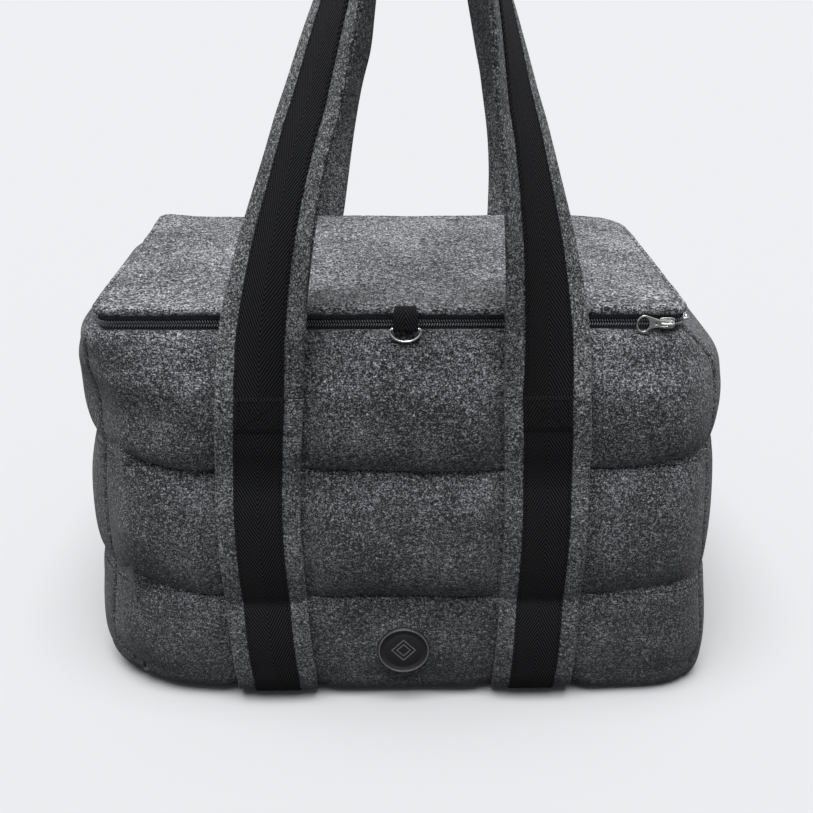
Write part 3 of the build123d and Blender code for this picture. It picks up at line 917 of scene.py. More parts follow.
def strap_route(side):
    """The inner face of one sewn strap, from the front fold, under the base, to the back fold."""
    bend = 27 * MM
    under_z = strap_step + 0.1 * MM
    heights = np.arange(strap_top, 38 * MM, -6 * MM)
    down = [(strap_place(z, side), -float(strap_line(z)), z) for z in heights]
    low_y = float(strap_line(36 * MM))
    foot = [(strap_place(0.02, side), -(low_y - bend + bend * cos(t)), under_z + bend - bend * sin(t))
            for t in np.linspace(0.12, pi / 2, 7)]
    under = [(strap_place(0.0, side), y, under_z) for y in np.linspace(-low_y + bend + 0.02, -0.01, 5)]
    half = down + foot + under
    return spline(half + [(x, -y, z) for x, y, z in reversed(half)], strap_pitch_mm * MM)


def route_frames(route):
    """Across and outward directions along a route that runs in a nearly upright plane."""
    tangent = directions(route)
    across = np.tile([1.0, 0.0, 0.0], (len(route), 1))
    outward = np.cross(tangent, across)
    outward /= np.linalg.norm(outward, axis=1)[:, None]
    across = np.cross(outward, tangent)
    return across, outward


sewn_pieces = []
for side, label in ((-1, "left"), (1, "right")):
    route = strap_route(side)
    across, outward = route_frames(route)
    ribs = webbing_down if side < 0 else webbing_up
    felt_piece = lay_strap(f"{label}_sewn_strap", route, across, outward,
                           felt_section(strap_width, strap_felt_t), 0.0, strap_felt, 0.5, 60 + side)
    web_piece = lay_strap(f"{label}_sewn_webbing", route, across, outward,
                          tape_section(webbing_width, webbing_t), strap_felt_t, ribs)
    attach(felt_piece, "root")
    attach(web_piece, "root")
    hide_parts("front_strap_felt", "back_strap_felt", "base_strap_felt")
    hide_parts("front_strap_webbing", "back_strap_webbing", "base_strap_webbing")
    sewn_pieces.append((side, route))
    print(felt_piece.name, "is", round(len(route) * strap_pitch_mm), "mm long")

# %% [markdown]
# The webbing is joined under the fold by a short overlap, sewn with a box and a cross. The overlap is its
# own small piece of tape, pressed thinner at its two ends, where the stitches pull it down.

# %% Lay the overlaps
lap_t = 1.2 * MM
for side, label in ((-1, "left"), (1, "right")):
    for wall, sign in (("front", 1), ("back", -1)):
        heights = np.linspace(strap_top, lap_bottom, 15)
        path = np.array([(strap_place(z, side), -sign * float(strap_line(z)), z) for z in heights])
        tangent = directions(path)
        across = np.tile([1.0, 0, 0], (len(path), 1))
        outward = np.cross(tangent, across)
        outward *= np.sign(-sign * outward[:, 1])[:, None]
        from_end = [min(i, len(path) - 1 - i) for i in range(len(path))]
        sink = np.array([0.55 * MM * np.exp(-steps / 0.8) for steps in from_end])
        piece = lay_strap(f"{label}_{wall}_overlap", path - outward * sink[:, None], across, outward,
                          tape_section(webbing_width - 0.4 * MM, lap_t), strap_felt_t + webbing_t - 0.1 * MM,
                          webbing_down if side < 0 else webbing_up)
        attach(piece, "root")
        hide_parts(f"{wall}_webbing_laps")
        print(piece.name, "is", round((strap_top - lap_bottom) / MM, 1), "mm long")

# %% [markdown]
# ## Handles
# A handle rises from the fold as a flat strap facing forwards, and its two legs turn on edge on their way
# to the top of the arch, where the strap lies flat again facing up. The turn is quick at first and slower
# later.

# %% Build the handles
handle_y = 172.6 * MM
handle_pitch_mm = 5.0
handle_frames = {}
LEG_HEIGHTS = [298.5, 308, 322, 356, 419, 493, 528, 562, 596, 658, 680]
LEG_SPREAD = [114, 114, 113, 110, 100, 83, 73, 64.5, 55.5, 37, 25]
LEG_LEAN = {"front": [7.5, 7.5, 8, 8.5, 10.5, 13.5, 15, 16.5, 18, 20, 20],
            "back": [7.5, 8.5, 15, 26, 31, 32, 32, 30, 28, 25, 25]}
CROWN = [(13.5, 687.7), (0, 690), (-13.5, 687.7)]
LEFT_TURN = [0, 20, 47, 54, 66, 90]
RIGHT_TURN = [0, 20, 49, 63, 78, 90]
for wall, sign in (("front", -1), ("back", 1)):
    legs = list(zip(LEG_HEIGHTS, LEG_SPREAD, LEG_LEAN[wall]))
    left_leg = [(m - h, z) for z, h, m in legs]
    right_leg = [(m + h, z) for z, h, m in reversed(legs)]
    arch_top = [(legs[-1][2] - x, z) for x, z in CROWN]
    whole = left_leg + arch_top + right_leg
    route = spline([(x * MM, sign * handle_y, z * MM) for x, z in whole], handle_pitch_mm * MM)
    tangent = directions(route)
    run = np.linspace(0, 1, len(route))
    from_fold = np.minimum(run, 1 - run) * 2
    turn_steps = [0, 0.15, 0.4, 0.58, 0.76, 1]
    turn = np.radians(np.where(run < 0.5, between(from_fold, turn_steps, LEFT_TURN),
                               between(from_fold, turn_steps, RIGHT_TURN)))
    across, outward = [], []
    for t, angle in zip(tangent, turn):
        away = np.array([-t[2], 0, t[0]])
        across.append(away * cos(angle) + np.array([0, -sign, 0]) * sin(angle))
        outward.append(np.array([0, sign, 0]) * cos(angle) + away * sin(angle))
    across, outward = np.array(across), np.array(outward)
    handle_frames[wall] = (route, across, outward, sign)
    felt_piece = lay_strap(f"{wall}_handle", route, across, outward,
                           felt_section(strap_width, strap_felt_t), -strap_felt_t / 2, strap_felt,
                           0.5, 70 + sign)
    web_piece = lay_strap(f"{wall}_handle_tape", route, across, outward,
                          tape_section(webbing_width, webbing_t), strap_felt_t / 2, webbing_up)
    for piece, node, slot in ((felt_piece, f"{wall}_handle_felt", "strap_felt"),
                              (web_piece, f"{wall}_handle_webbing", "webbing_black")):
        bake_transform(piece)
        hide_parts(node)
    print(felt_piece.name, "is", round(len(route) * handle_pitch_mm), "mm long")

# %% [markdown]
# ## The lid
# The lid is a thin soft pad with a turned hem. Its rear edge is sewn to the back wall. It is made of
# closed rings: across the top, round the hem and back under it. The felt is not flat: it sags a little
# between the edges, and its hem wavers.

# %% The lid's outline and sag
lid_low, lid_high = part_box("lid_panel")
lid_half_x = lid_high.x
lid_half_y = -lid_low.y
lid_top = lid_high.z
lid_corners = {(1, -1): (15 * MM, 13 * MM), (-1, -1): (17 * MM, 15 * MM),
               (-1, 1): (15 * MM, 12 * MM), (1, 1): (24 * MM, 42 * MM)}


def lid_outline(count):
    """The lid's edge seen from above, at even spacing, anticlockwise from the middle of the right side."""
    dense = []
    corner_starts = [((1, 1), 0), ((-1, 1), pi / 2), ((-1, -1), pi), ((1, -1), 3 * pi / 2)]
    for (sx, sy), start in corner_starts:
        rx, ry = lid_corners[(sx, sy)]
        for t in np.linspace(start, start + pi / 2, 30):
            dense.append((sx * (lid_half_x - rx) + rx * cos(t), sy * (lid_half_y - ry) + ry * sin(t)))
    dense = np.array(dense + dense[:1])
    run = np.concatenate([[0], np.cumsum(np.hypot(*np.diff(dense, axis=0).T))])
    even = np.linspace(0, run[-1], count, endpoint=False)
    return np.stack([np.interp(even, run, dense[:, 0]), np.interp(even, run, dense[:, 1])], axis=1)


def lid_sag(x, y):
    """The lid's height above its flat plane."""
    fx, fy = x / lid_half_x, y / lid_half_y
    dome = 1.8 * MM * (1 - fx ** 2) * (1 - fy ** 2)
    soft = 1.5 * MM * ripple(x / 0.16, y / 0.13, 301) + 0.7 * MM * ripple(x / 0.07, y / 0.08, 302)
    ear = 2.5 * MM * np.exp(-((x + lid_half_x) / 0.03) ** 2 - ((y - lid_half_y) / 0.03) ** 2)
    droop = -3.0 * MM * smooth((x - 0.16) / 0.08) * smooth((y - 0.05) / 0.1)
    return dome + soft * smooth((lid_half_x - np.abs(x)) / 0.02) + ear + droop


def stretch_left(x, y):
    """The lid's front left corner is pulled out a little by the zip."""
    return x - 5 * MM * smooth((-x - 0.10) / 0.12) * smooth((0.06 - y) / 0.16)


# %% Build the lid
lid_count = 440
lid_edge = lid_outline(lid_count)
lid_edge[:, 0] = stretch_left(*lid_edge.T)
edge_step = np.roll(lid_edge, -1, axis=0) - np.roll(lid_edge, 1, axis=0)
edge_out = np.stack([edge_step[:, 1], -edge_step[:, 0]], axis=1) / np.hypot(*edge_step.T)[:, None]
edge_run = np.arange(lid_count) / lid_count * 1.5
hem_waver = 0.7 * MM * ripple(edge_run / 0.05, 0.1, 310) + 0.4 * MM * ripple(edge_run / 0.018, 0.4, 311)
hem_drop = 0.6 * MM * ripple(edge_run / 0.09, 0.7, 312)
# The hem's section, in millimetres in from the edge and up from the lid's top.
HEM = [(9.0, 0.1), (6.8, 0.0), (5.6, -0.15), (4.9, -0.75), (4.4, -0.9), (3.9, -0.6), (3.0, -0.05),
       (1.9, -0.1), (0.9, -0.7), (0.25, -1.8), (0.0, -3.2), (0.1, -4.6), (0.5, -5.7), (1.4, -6.5),
       (3.0, -6.8), (6.0, -7.1), (9.0, -7.6)]
lid_depth = 7.6 * MM
lid_rings = []
for scale in (0.03, 0.12, 0.24, 0.36, 0.48, 0.59, 0.69, 0.78, 0.855, 0.91):
    ring = lid_edge * scale
    lid_rings.append(np.column_stack([ring, lid_top + lid_sag(*ring.T)]))
for inset, drop in HEM:
    ring = lid_edge - edge_out * (inset * MM) + edge_out * (hem_waver * smooth(1 - inset / 6))[:, None]
    z = lid_top + lid_sag(*ring.T) + drop * MM + hem_drop * smooth(-drop / 5)
    lid_rings.append(np.column_stack([ring, z]))
for scale in (0.90, 0.70, 0.45, 0.2, 0.03):
    ring = lid_edge * scale
    lid_rings.append(np.column_stack([ring, np.full(lid_count, lid_top - lid_depth)]))
lid_stack = np.array(lid_rings)
lid_rows = len(lid_stack)
lid_faces = grid_faces(lid_rows, lid_count, closed_columns=True)
lid_faces.append(tuple(range(lid_count)))
lid_faces.append(tuple(range((lid_rows - 1) * lid_count, lid_rows * lid_count)))
lid_pad = face_out(new_object("lid_pad", lid_stack.reshape(-1, 3), lid_faces, lid_felt_painted_paler))
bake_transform(lid_pad)
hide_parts("lid_panel", "lid_hem", "lid_wadding")
print(lid_pad.name, len(lid_pad.data.polygons), "faces")

# %% [markdown]
# The back wall's felt carries on up to the lid behind the hinge. This short upright fold is a sheet of its
# own, with its lower edge inside the wall's rolled rim and its upper edge under the lid's hem.

# %% Build the back fold
fold_x = np.linspace(-0.226, 0.213, 90)
back_fold_bottom = 341.5 * MM
back_fold_height = 18.5 * MM
back_fold_y = 145.6 * MM
fold_rows = []
for share in np.linspace(0, 1, 9):
    z = back_fold_bottom + share * back_fold_height
    bow = 1.8 * MM * sin(pi * share) + 0.4 * MM * ripple(fold_x / 0.05, share, 330)
    fold_rows.append(np.column_stack([fold_x, back_fold_y + bow, np.full_like(fold_x, z)]))
fold_outer = np.array(fold_rows)
fold_inner = fold_outer - np.array([0, 2.6 * MM, 0])
back_fold = closed_pad("back_fold", fold_outer, fold_inner, wall_felt)
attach(back_fold, "root")
print(back_fold.name, len(back_fold.data.polygons), "faces")

# %% [markdown]
# ## The zip's tapes
# The zip's tape is cut in two by its coil: the lower half is sewn inside the wall's rim, the upper half
# inside the lid's hem. Both follow one line, round the front corners and back along both sides. The left
# corner is wide, because the closed zip relaxes there, and the right one is tight under the slider.

# %% Tape, coil, nickel and leather
tape_black, tape_tree, tape_shader = new_material("zip tape", 0.75)
weave_uv = tape_tree.nodes.new("ShaderNodeUVMap")
weave_uv.uv_map = "UVMap"
weft = noise(tape_tree, weave_uv.outputs["UV"], 900.0, 1.0, 0.5, stretch=(1, 0.25, 1))
warp = noise(tape_tree, weave_uv.outputs["UV"], 900.0, 1.0, 0.5, stretch=(0.25, 1, 1))
weave_height = calc(tape_tree, "ADD", weft, warp)
weave_tone = remap(tape_tree, weave_height, 0.7, 1.3)
link(tape_tree, mix_colour(tape_tree, weave_tone, (0.022, 0.022, 0.024), (0.062, 0.062, 0.066)),
     tape_shader.inputs["Base Color"])
add_bump(tape_tree, tape_shader, weave_height, 0.0003, 0.7)


def streaked_material(name, dark, pale, rough_low, rough_high, metallic, scale, bump_depth):
    """A smooth hard finish with faint streaks in its colour and its gloss."""
    material, tree, shader = new_material(name, rough_low)
    shader.inputs["Metallic"].default_value = metallic
    place = tree.nodes.new("ShaderNodeTexCoord").outputs["Object"]
    streak = noise(tree, place, scale, 4.0, 0.65, stretch=(0.3, 1, 1))
    link(tree, mix_colour(tree, remap(tree, streak, 0.35, 0.7), dark, pale), shader.inputs["Base Color"])
    link(tree, remap(tree, streak, 0.3, 0.75, rough_low, rough_high), shader.inputs["Roughness"])
    add_bump(tree, shader, streak, bump_depth, 0.5)
    return material


# Painted highlight: the black nylon coil is coloured grey so that its turns read as glints.
nylon_painted_glint = streaked_material("coil nylon", (0.17, 0.17, 0.18), (0.34, 0.34, 0.36), 0.22, 0.42, 0.0, 900.0,
                          0.0001)
nickel = streaked_material("nickel", (0.62, 0.61, 0.59), (0.88, 0.87, 0.85), 0.16, 0.34, 1.0, 700.0, 0.00003)
thread = streaked_material("thread", (0.003, 0.003, 0.0035), (0.012, 0.012, 0.013), 0.55, 0.75, 0.0, 2200.0,
                           0.0002)
thread.node_tree.nodes["Principled BSDF"].inputs["Specular IOR Level"].default_value = 0.1
leather = streaked_material("badge leather", (0.008, 0.008, 0.009), (0.020, 0.020, 0.022), 0.38, 0.55, 0.0,
                            1400.0, 0.00012)
rubbed = streaked_material("rubbed leather", (0.10, 0.10, 0.105), (0.19, 0.19, 0.195), 0.35, 0.5, 0.0, 1400.0,
                           0.00012)
board_grey = streaked_material("grey board", (0.10, 0.10, 0.10), (0.17, 0.165, 0.16), 0.8, 0.95, 0.0, 500.0,
                               0.0003)
print("finishes:", ", ".join(m.name for m in (nylon_painted_glint, nickel, thread, leather, rubbed, board_grey)))

# %% The zip's line
ZIP_END = 132 * MM
ZIP_INSET = 5 * MM
LEFT_BEND = 12 * MM
RIGHT_BEND = 6 * MM


def zip_line(inset, z, spacing=3 * MM, late=0.0):
    """Points along the zip from its left end to its right end, and the outward direction at each."""
    grow = ZIP_INSET - inset
    hx, hy = lid_half_x - inset, lid_half_y - inset
    left_bend, right_bend = LEFT_BEND + grow, RIGHT_BEND + grow
    points, outs = [], []
    for y in np.arange(ZIP_END - late, -hy + left_bend, -spacing):
        points.append((-hx, y))
        outs.append((-1, 0))
    for t in np.linspace(pi, 3 * pi / 2, 14):
        points.append((-hx + left_bend + left_bend * cos(t), -hy + left_bend + left_bend * sin(t)))
        outs.append((cos(t), sin(t)))
    for x in np.linspace(-hx + left_bend, hx - right_bend, 150)[1:-1]:
        points.append((x, -hy))
        outs.append((0, -1))
    for t in np.linspace(3 * pi / 2, 2 * pi, 10):
        points.append((hx - right_bend + right_bend * cos(t), -hy + right_bend + right_bend * sin(t)))
        outs.append((cos(t), sin(t)))
    for y in np.arange(-hy + right_bend + spacing, ZIP_END, spacing):
        points.append((hx, y))
        outs.append((1, 0))
    points = np.array(points)
    points[:, 0] = stretch_left(*points.T)
    line = np.column_stack([points, np.full(len(points), z)])
    return line, np.column_stack([np.array(outs), np.zeros(len(outs))])


def round_section(radius, count=8):
    """A round cross section for cords and wires."""
    return [(radius * cos(t), radius * sin(t)) for t in np.linspace(0, 2 * pi, count, endpoint=False)]


# %% The tapes and the coils' cores
upright = np.array([0, 0, 1.0])
for label, body, low, high, node in (("lower", "root", 343.6, 350.3, "zip_lower_tape"),
                                     ("upper", "lid", 351.7, 361.0, "zip_upper_tape")):
    path, outs = zip_line(ZIP_INSET + 0.8 * MM, (low + high) / 2 * MM)
    piece = lay_strap(f"{label}_zip_tape", path, np.tile(upright, (len(path), 1)), outs,
                      tape_section((high - low) * MM, 0.8 * MM), 0.0, tape_black)
    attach(piece, body)
    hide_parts(node)
    cord_z = 353.7 if label == "upper" else 348.3
    path, outs = zip_line(4.1 * MM, cord_z * MM)
    cord = lay_strap(f"{label}_coil_cord", path, np.tile(upright, (len(path), 1)), outs,
                     round_section(0.6 * MM), 0.0, thread)
    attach(cord, body)
    print(piece.name, len(path), "stations")

# %% [markdown]
# ## Rows of small parts with Geometry Nodes
# Zip teeth and stitches are the same idea: one small part repeated at an even pitch along a line. One
# Geometry Nodes tree makes them all. It turns the line into a curve, resamples it at the pitch, stands a part
# on each point with its length along the line and its top away from the surface, then realizes the copies
# and sets the finish. The result is turned into a plain mesh, one for each body.

# %% Build the tree
row_tree = bpy.data.node_groups.new("row of parts", "GeometryNodeTree")
row_inputs = [("Line", "NodeSocketGeometry"), ("Pitch", "NodeSocketFloat"), ("Part Size", "NodeSocketVector"),
              ("Slant", "NodeSocketFloat"), ("Finish", "NodeSocketMaterial")]
for label, kind in row_inputs:
    row_tree.interface.new_socket(label, in_out="INPUT", socket_type=kind)
row_tree.interface.new_socket("Parts", in_out="OUTPUT", socket_type="NodeSocketGeometry")
row_in = row_tree.nodes.new("NodeGroupInput")
row_out = row_tree.nodes.new("NodeGroupOutput")
to_curve = row_tree.nodes.new("GeometryNodeMeshToCurve")
resample = row_tree.nodes.new("GeometryNodeResampleCurve")
resample.mode = "LENGTH"
part = row_tree.nodes.new("GeometryNodeMeshUVSphere")
part.inputs["Segments"].default_value = 6
part.inputs["Rings"].default_value = 5
part.inputs["Radius"].default_value = 1.0
shape_part = row_tree.nodes.new("GeometryNodeTransform")
tilt = row_tree.nodes.new("ShaderNodeCombineXYZ")
stand = row_tree.nodes.new("GeometryNodeInstanceOnPoints")
tangent_in = row_tree.nodes.new("GeometryNodeInputTangent")
out_in = row_tree.nodes.new("GeometryNodeInputNamedAttribute")
out_in.data_type = "FLOAT_VECTOR"
out_in.inputs["Name"].default_value = "out"
along_line = row_tree.nodes.new("FunctionNodeAlignRotationToVector")
along_line.axis = "X"
top_out = row_tree.nodes.new("FunctionNodeAlignRotationToVector")
top_out.axis = "Z"
top_out.pivot_axis = "X"
realize = row_tree.nodes.new("GeometryNodeRealizeInstances")
set_finish = row_tree.nodes.new("GeometryNodeSetMaterial")
for source, target in (
        (row_in.outputs["Line"], to_curve.inputs[0]),
        (to_curve.outputs[0], resample.inputs["Curve"]),
        (row_in.outputs["Pitch"], resample.inputs["Length"]),
        (resample.outputs[0], stand.inputs["Points"]),
        (part.outputs["Mesh"], shape_part.inputs["Geometry"]),
        (row_in.outputs["Part Size"], shape_part.inputs["Scale"]),
        (row_in.outputs["Slant"], tilt.inputs["Z"]),
        (tilt.outputs[0], shape_part.inputs["Rotation"]),
        (shape_part.outputs[0], stand.inputs["Instance"]),
        (tangent_in.outputs[0], along_line.inputs["Vector"]),
        (along_line.outputs[0], top_out.inputs["Rotation"]),
        (out_in.outputs["Attribute"], top_out.inputs["Vector"]),
        (top_out.outputs[0], stand.inputs["Rotation"]),
        (stand.outputs[0], realize.inputs[0]),
        (realize.outputs[0], set_finish.inputs["Geometry"]),
        (row_in.outputs["Finish"], set_finish.inputs["Material"]),
        (set_finish.outputs[0], row_out.inputs[0])):
    row_tree.links.new(source, target)
row_items = [item for item in row_tree.interface.items_tree if item.in_out == "INPUT"]
row_sockets = {item.name: item.identifier for item in row_items}
print(row_tree.name, "takes", ", ".join(row_sockets))


# %% Repeat a part along lines
def row_of_parts(name, lines, pitch, size, slant, finish):
    """Repeats a small rounded part along lines. lines are pairs of points and outward directions."""
    points, outs, edges = [], [], []
    for path, out in lines:
        first = len(points)
        points.extend(map(tuple, path))
        outs.extend(np.asarray(out, float).ravel())
        edges.extend((first + i, first + i + 1) for i in range(len(path) - 1))
    mesh = bpy.data.meshes.new(name + " line")
    mesh.from_pydata(points, edges, [])
    mesh.attributes.new("out", "FLOAT_VECTOR", "POINT").data.foreach_set("vector", outs)
    holder = put_in_scene(name + " line", mesh)
    step = holder.modifiers.new("row", "NODES")
    step.node_group = row_tree
    for label, value in (("Pitch", pitch), ("Part Size", size), ("Slant", slant), ("Finish", finish)):
        step[row_sockets[label]] = value
    evaluated = holder.evaluated_get(bpy.context.evaluated_depsgraph_get())
    made = bpy.data.meshes.new_from_object(evaluated)
    bpy.data.objects.remove(holder)
    made.polygons.foreach_set("use_smooth", [True] * len(made.polygons))
    print(name, len(made.polygons), "faces")
    return put_in_scene(name, made)


# %% [markdown]
# The coil's turns lean one way in the upper row and the other way in the lower row, so that together they
# read as a run of small Vs. The rows mesh by a hair's breadth and are offset by half a pitch, so neither
# touches the other, and they can part when the lid opens.

# %% Coil turns
coil_pitch = 2.1 * MM
turn_size = (0.40 * MM, 1.9 * MM, 1.15 * MM)
for label, body, z, slant, late in (("upper", "lid", 352.55, radians(24), 0.0),
                                    ("lower", "root", 349.45, radians(-24), coil_pitch / 2)):
    piece = row_of_parts(f"{label}_coil_turns", [zip_line(3.9 * MM, z * MM, late=late)], coil_pitch,
                         turn_size, slant, nylon_painted_glint)
    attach(piece, body)
    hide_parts(f"zip_{label}_coil")

# %% [markdown]
# ## Sliders and pulls
# A slider is a nickel casting: two shield plates held apart by a post, with a crown that carries the pull.
# The pull is stamped from sheet, with an oval ring at its end. A flat filled curve with holes makes such a
# stamping: Blender fills it, thickens it and rounds its edges in one go. It is made a mesh before it is put
# in place.

# %% Stamped plates
def stamping(name, outline, holes, thickness, edge, put, material):
    """A flat plate with holes and rounded edges. put takes local x, y and depth to the bag's frame."""
    flat = bpy.data.curves.new(name, "CURVE")
    flat.dimensions = "2D"
    flat.fill_mode = "BOTH"
    flat.bevel_depth = edge
    flat.offset = -edge
    flat.bevel_resolution = 2
    flat.extrude = thickness / 2 - edge
    for loop in [outline] + holes:
        line = flat.splines.new("POLY")
        line.points.add(len(loop) - 1)
        for point, (x, y) in zip(line.points, loop):
            point.co = (x, y, 0, 1)
        line.use_cyclic_u = True
    holder = put_in_scene(name + " flat", flat)
    mesh = bpy.data.meshes.new_from_object(holder.evaluated_get(bpy.context.evaluated_depsgraph_get()))
    bpy.data.objects.remove(holder)
    for vertex in mesh.vertices:
        vertex.co = put(*vertex.co)
    plate = bmesh.new()
    plate.from_mesh(mesh)
    bmesh.ops.remove_doubles(plate, verts=plate.verts, dist=0.01 * MM)
    bmesh.ops.recalc_face_normals(plate, faces=plate.faces)
    plate.to_mesh(mesh)
    plate.free()
    mesh.materials.clear()
    mesh.materials.append(material)
    mesh.shade_smooth()
    mesh.set_sharp_from_angle(angle=radians(35))
    return put_in_scene(name, mesh)


def oval(cx, cy, rx, ry, count=28, start=0.0, end=2 * pi):
    """Points round an oval or part of one, in millimetres."""
    whole = abs(end - start - 2 * pi) < 1e-6
    return [(cx + rx * cos(t), cy + ry * sin(t)) for t in np.linspace(start, end, count, endpoint=not whole)]


def to_metres(points):
    """Local millimetres to metres."""
    return [(x * MM, y * MM) for x, y in points]


# %% Outlines of the pull and the shield
pull_outline = oval(-20.6, 0, 6.3, 7.6, 24, radians(70), radians(285))
pull_outline += [(-16.4, -5.2), (-14.0, -3.6), (-11.0, -2.9), (-8.0, -2.8), (-2.0, -2.8)]
pull_outline += oval(-1.0, 0, 2.4, 2.9, 9, radians(-75), radians(75))
pull_outline += [(-8.0, 3.4), (-13.0, 5.3)]
ring_hole = oval(-21.0, 0, 4.6, 5.9, 26)
crown_hole = oval(-2.2, 0, 1.6, 1.75, 9, radians(-90), radians(90))
crown_hole += oval(-6.6, 0, 1.6, 1.75, 9, radians(90), radians(270))
eye_hole = oval(-11.0, 0.6, 1.1, 1.1, 14)
shield = [(-6.3, -2.6), (-5.2, -4.2), (-2.0, -4.7), (3.5, -4.7), (5.8, -4.0), (6.5, -2.6)]
shield += [(x, -y) for x, y in reversed(shield)]
post = [(-0.4, -2.2), (5.6, -2.2), (5.6, 2.2), (-0.4, 2.2)]
crown_arch = [(-5.6, 3.2), (-5.75, 5.2), (-4.9, 7.0), (-2.6, 7.75), (0, 7.85), (2.6, 7.75), (4.9, 7.0),
              (5.75, 5.2), (5.6, 3.2)]
print("a pull has", len(pull_outline), "outline points, a shield", len(shield))

# %% Build the sliders and pulls
zip_front_y = -145 * MM
zip_right_x = 230 * MM
pull_depth = 6.1 * MM
pull_shift = 2.0 * MM
plate_depths = {"outer": 3.0 * MM, "inner": -1.8 * MM}
post_depth = 0.6 * MM


def at_front(centre, depth, along, up):
    """A place on the front of the zip, by its depth out of the bag and its run along the zip."""
    return (centre.x + along, zip_front_y - depth, centre.z + up)


def at_right(centre, depth, along, up):
    """A place on the right side of the zip."""
    return (zip_right_x + depth, centre.y - along, centre.z + up)


for place, put_at in (("front", at_front), ("side", at_right)):
    low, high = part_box(f"{place}_slider_body")
    centre = (low + high) / 2
    pull_holes = [to_metres(ring_hole), to_metres(crown_hole), to_metres(eye_hole)]
    pull = stamping(f"{place}_pull", to_metres(pull_outline), pull_holes, 1.3 * MM, 0.35 * MM,
                    lambda x, y, z: put_at(centre, pull_depth + z, x + pull_shift, y), nickel)
    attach(pull, f"{place}_pull")
    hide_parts(f"{place}_pull_tab")
    plates = []
    for label, depth in plate_depths.items():
        plates.append(stamping(f"{place}_slider_plate_{label}", to_metres(shield), [], 1.2 * MM, 0.4 * MM,
                               lambda x, y, z: put_at(centre, depth + z, x, y), nickel))
    plates.append(stamping(f"{place}_slider_post", to_metres(post), [], 0.8 * MM, 0.1 * MM,
                           lambda x, y, z: put_at(centre, post_depth + y, x, z), nickel))
    arch = spline(crown_arch, 0.5)
    arch_points = np.array([put_at(centre, d * MM, l * MM, 0) for l, d in arch])
    arch_across = np.tile(upright, (len(arch), 1))
    crown_section = [(1.25 * a, 0.55 * b) for a, b in round_section(1 * MM, 12)]
    crown = lay_strap(f"{place}_crown", arch_points, arch_across,
                      np.cross(directions(arch_points), arch_across), crown_section, 0.0, nickel)
    for piece in plates + [crown]:
        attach(piece, f"{place}_slider")
        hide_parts(f"{place}_slider_crown" if piece is crown else f"{place}_slider_body")
    print(place, "slider has", len(plates), "plates, a crown and a pull")

# %% [markdown]
# ## The ring on its tab
# A short piece of 20 mm webbing is sewn to the lid's edge, goes round the ring's bar and back. It is laid
# like a strap, with the path going down the outside, round the wire and up the inside. Its shoulders are
# narrower, where the fold pulls the tape together. The ring is a bent wire, closed at its bar.

# %% Ring tab and ring
tab_low, tab_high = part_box("ring_tab")
wire_pitch = 0.8 * MM
tab_x = (tab_low.x + tab_high.x) / 2
bar_y, bar_z = -158.6, 350.5
round_bar = [(bar_y + 1.25 * cos(t), bar_z + 1.25 * sin(t)) for t in np.linspace(pi, 2 * pi, 7)]
tab_outside = [(-149.4, 365.3), (-152.6, 366.1), (-156.0, 365.2), (-158.6, 362.4), (-159.7, 358.0),
               (-159.85, 353.4)]
tab_inside = [(-157.3, 353.4), (-157.1, 358.0), (-155.9, 361.2), (-153.4, 362.8), (-150.6, 363.0)]
tab_path = tab_outside + round_bar + tab_inside
tab_points = spline([(tab_x, y * MM, z * MM) for y, z in tab_path], wire_pitch)
tab_across = np.tile([1.0, 0, 0], (len(tab_points), 1))
tab_outward = np.cross(directions(tab_points), tab_across)
tab_narrow = 1 - 0.14 * smooth((tab_points[:, 2] - 0.3595) / 0.006)
ring_tab = lay_strap("ring_tab_webbing", tab_points, tab_across * tab_narrow[:, None], tab_outward,
                     tape_section(20 * MM, 1.15 * MM), 0.0, webbing_up)
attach(ring_tab, "ring_tab")
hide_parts("ring_tab")

ring_half = 12.6
ring_path = [(0, 0), (6, 0), (10.2, -0.1), (11.9, -1.0)]
ring_path += [(ring_half * cos(t), -0.4 + 10.4 * sin(t)) for t in np.linspace(-0.3, 0.3 - pi, 15)]
ring_path += [(-11.9, -1.0), (-10.2, -0.1), (-6, 0), (-0.02, 0)]
ring_points = spline([(tab_x + x * MM, bar_y * MM, (bar_z + z) * MM) for x, z in ring_path], wire_pitch)
ring_side = np.tile([0, 1.0, 0], (len(ring_points), 1))
wire_ring = lay_strap("wire_ring", ring_points, ring_side, np.cross(directions(ring_points), ring_side),
                      round_section(1.1 * MM, 10), 0.0, nickel)
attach(wire_ring, "d_ring")
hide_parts("d_ring")
print("tab of", len(tab_points), "stations, ring of", len(ring_points))

# %% [markdown]
# ## The badge
# A disc of black leather with a raised rim is glued and sewn to the front. Its profile is turned round its
# axis, and two plain diamonds, one inside the other, are pressed up in the middle and rubbed paler.

# %% Build the badge
badge_low, badge_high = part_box("badge")
badge_z = (badge_low.z + badge_high.z) / 2
badge_x = lean(badge_z)
badge_thick = 1.35
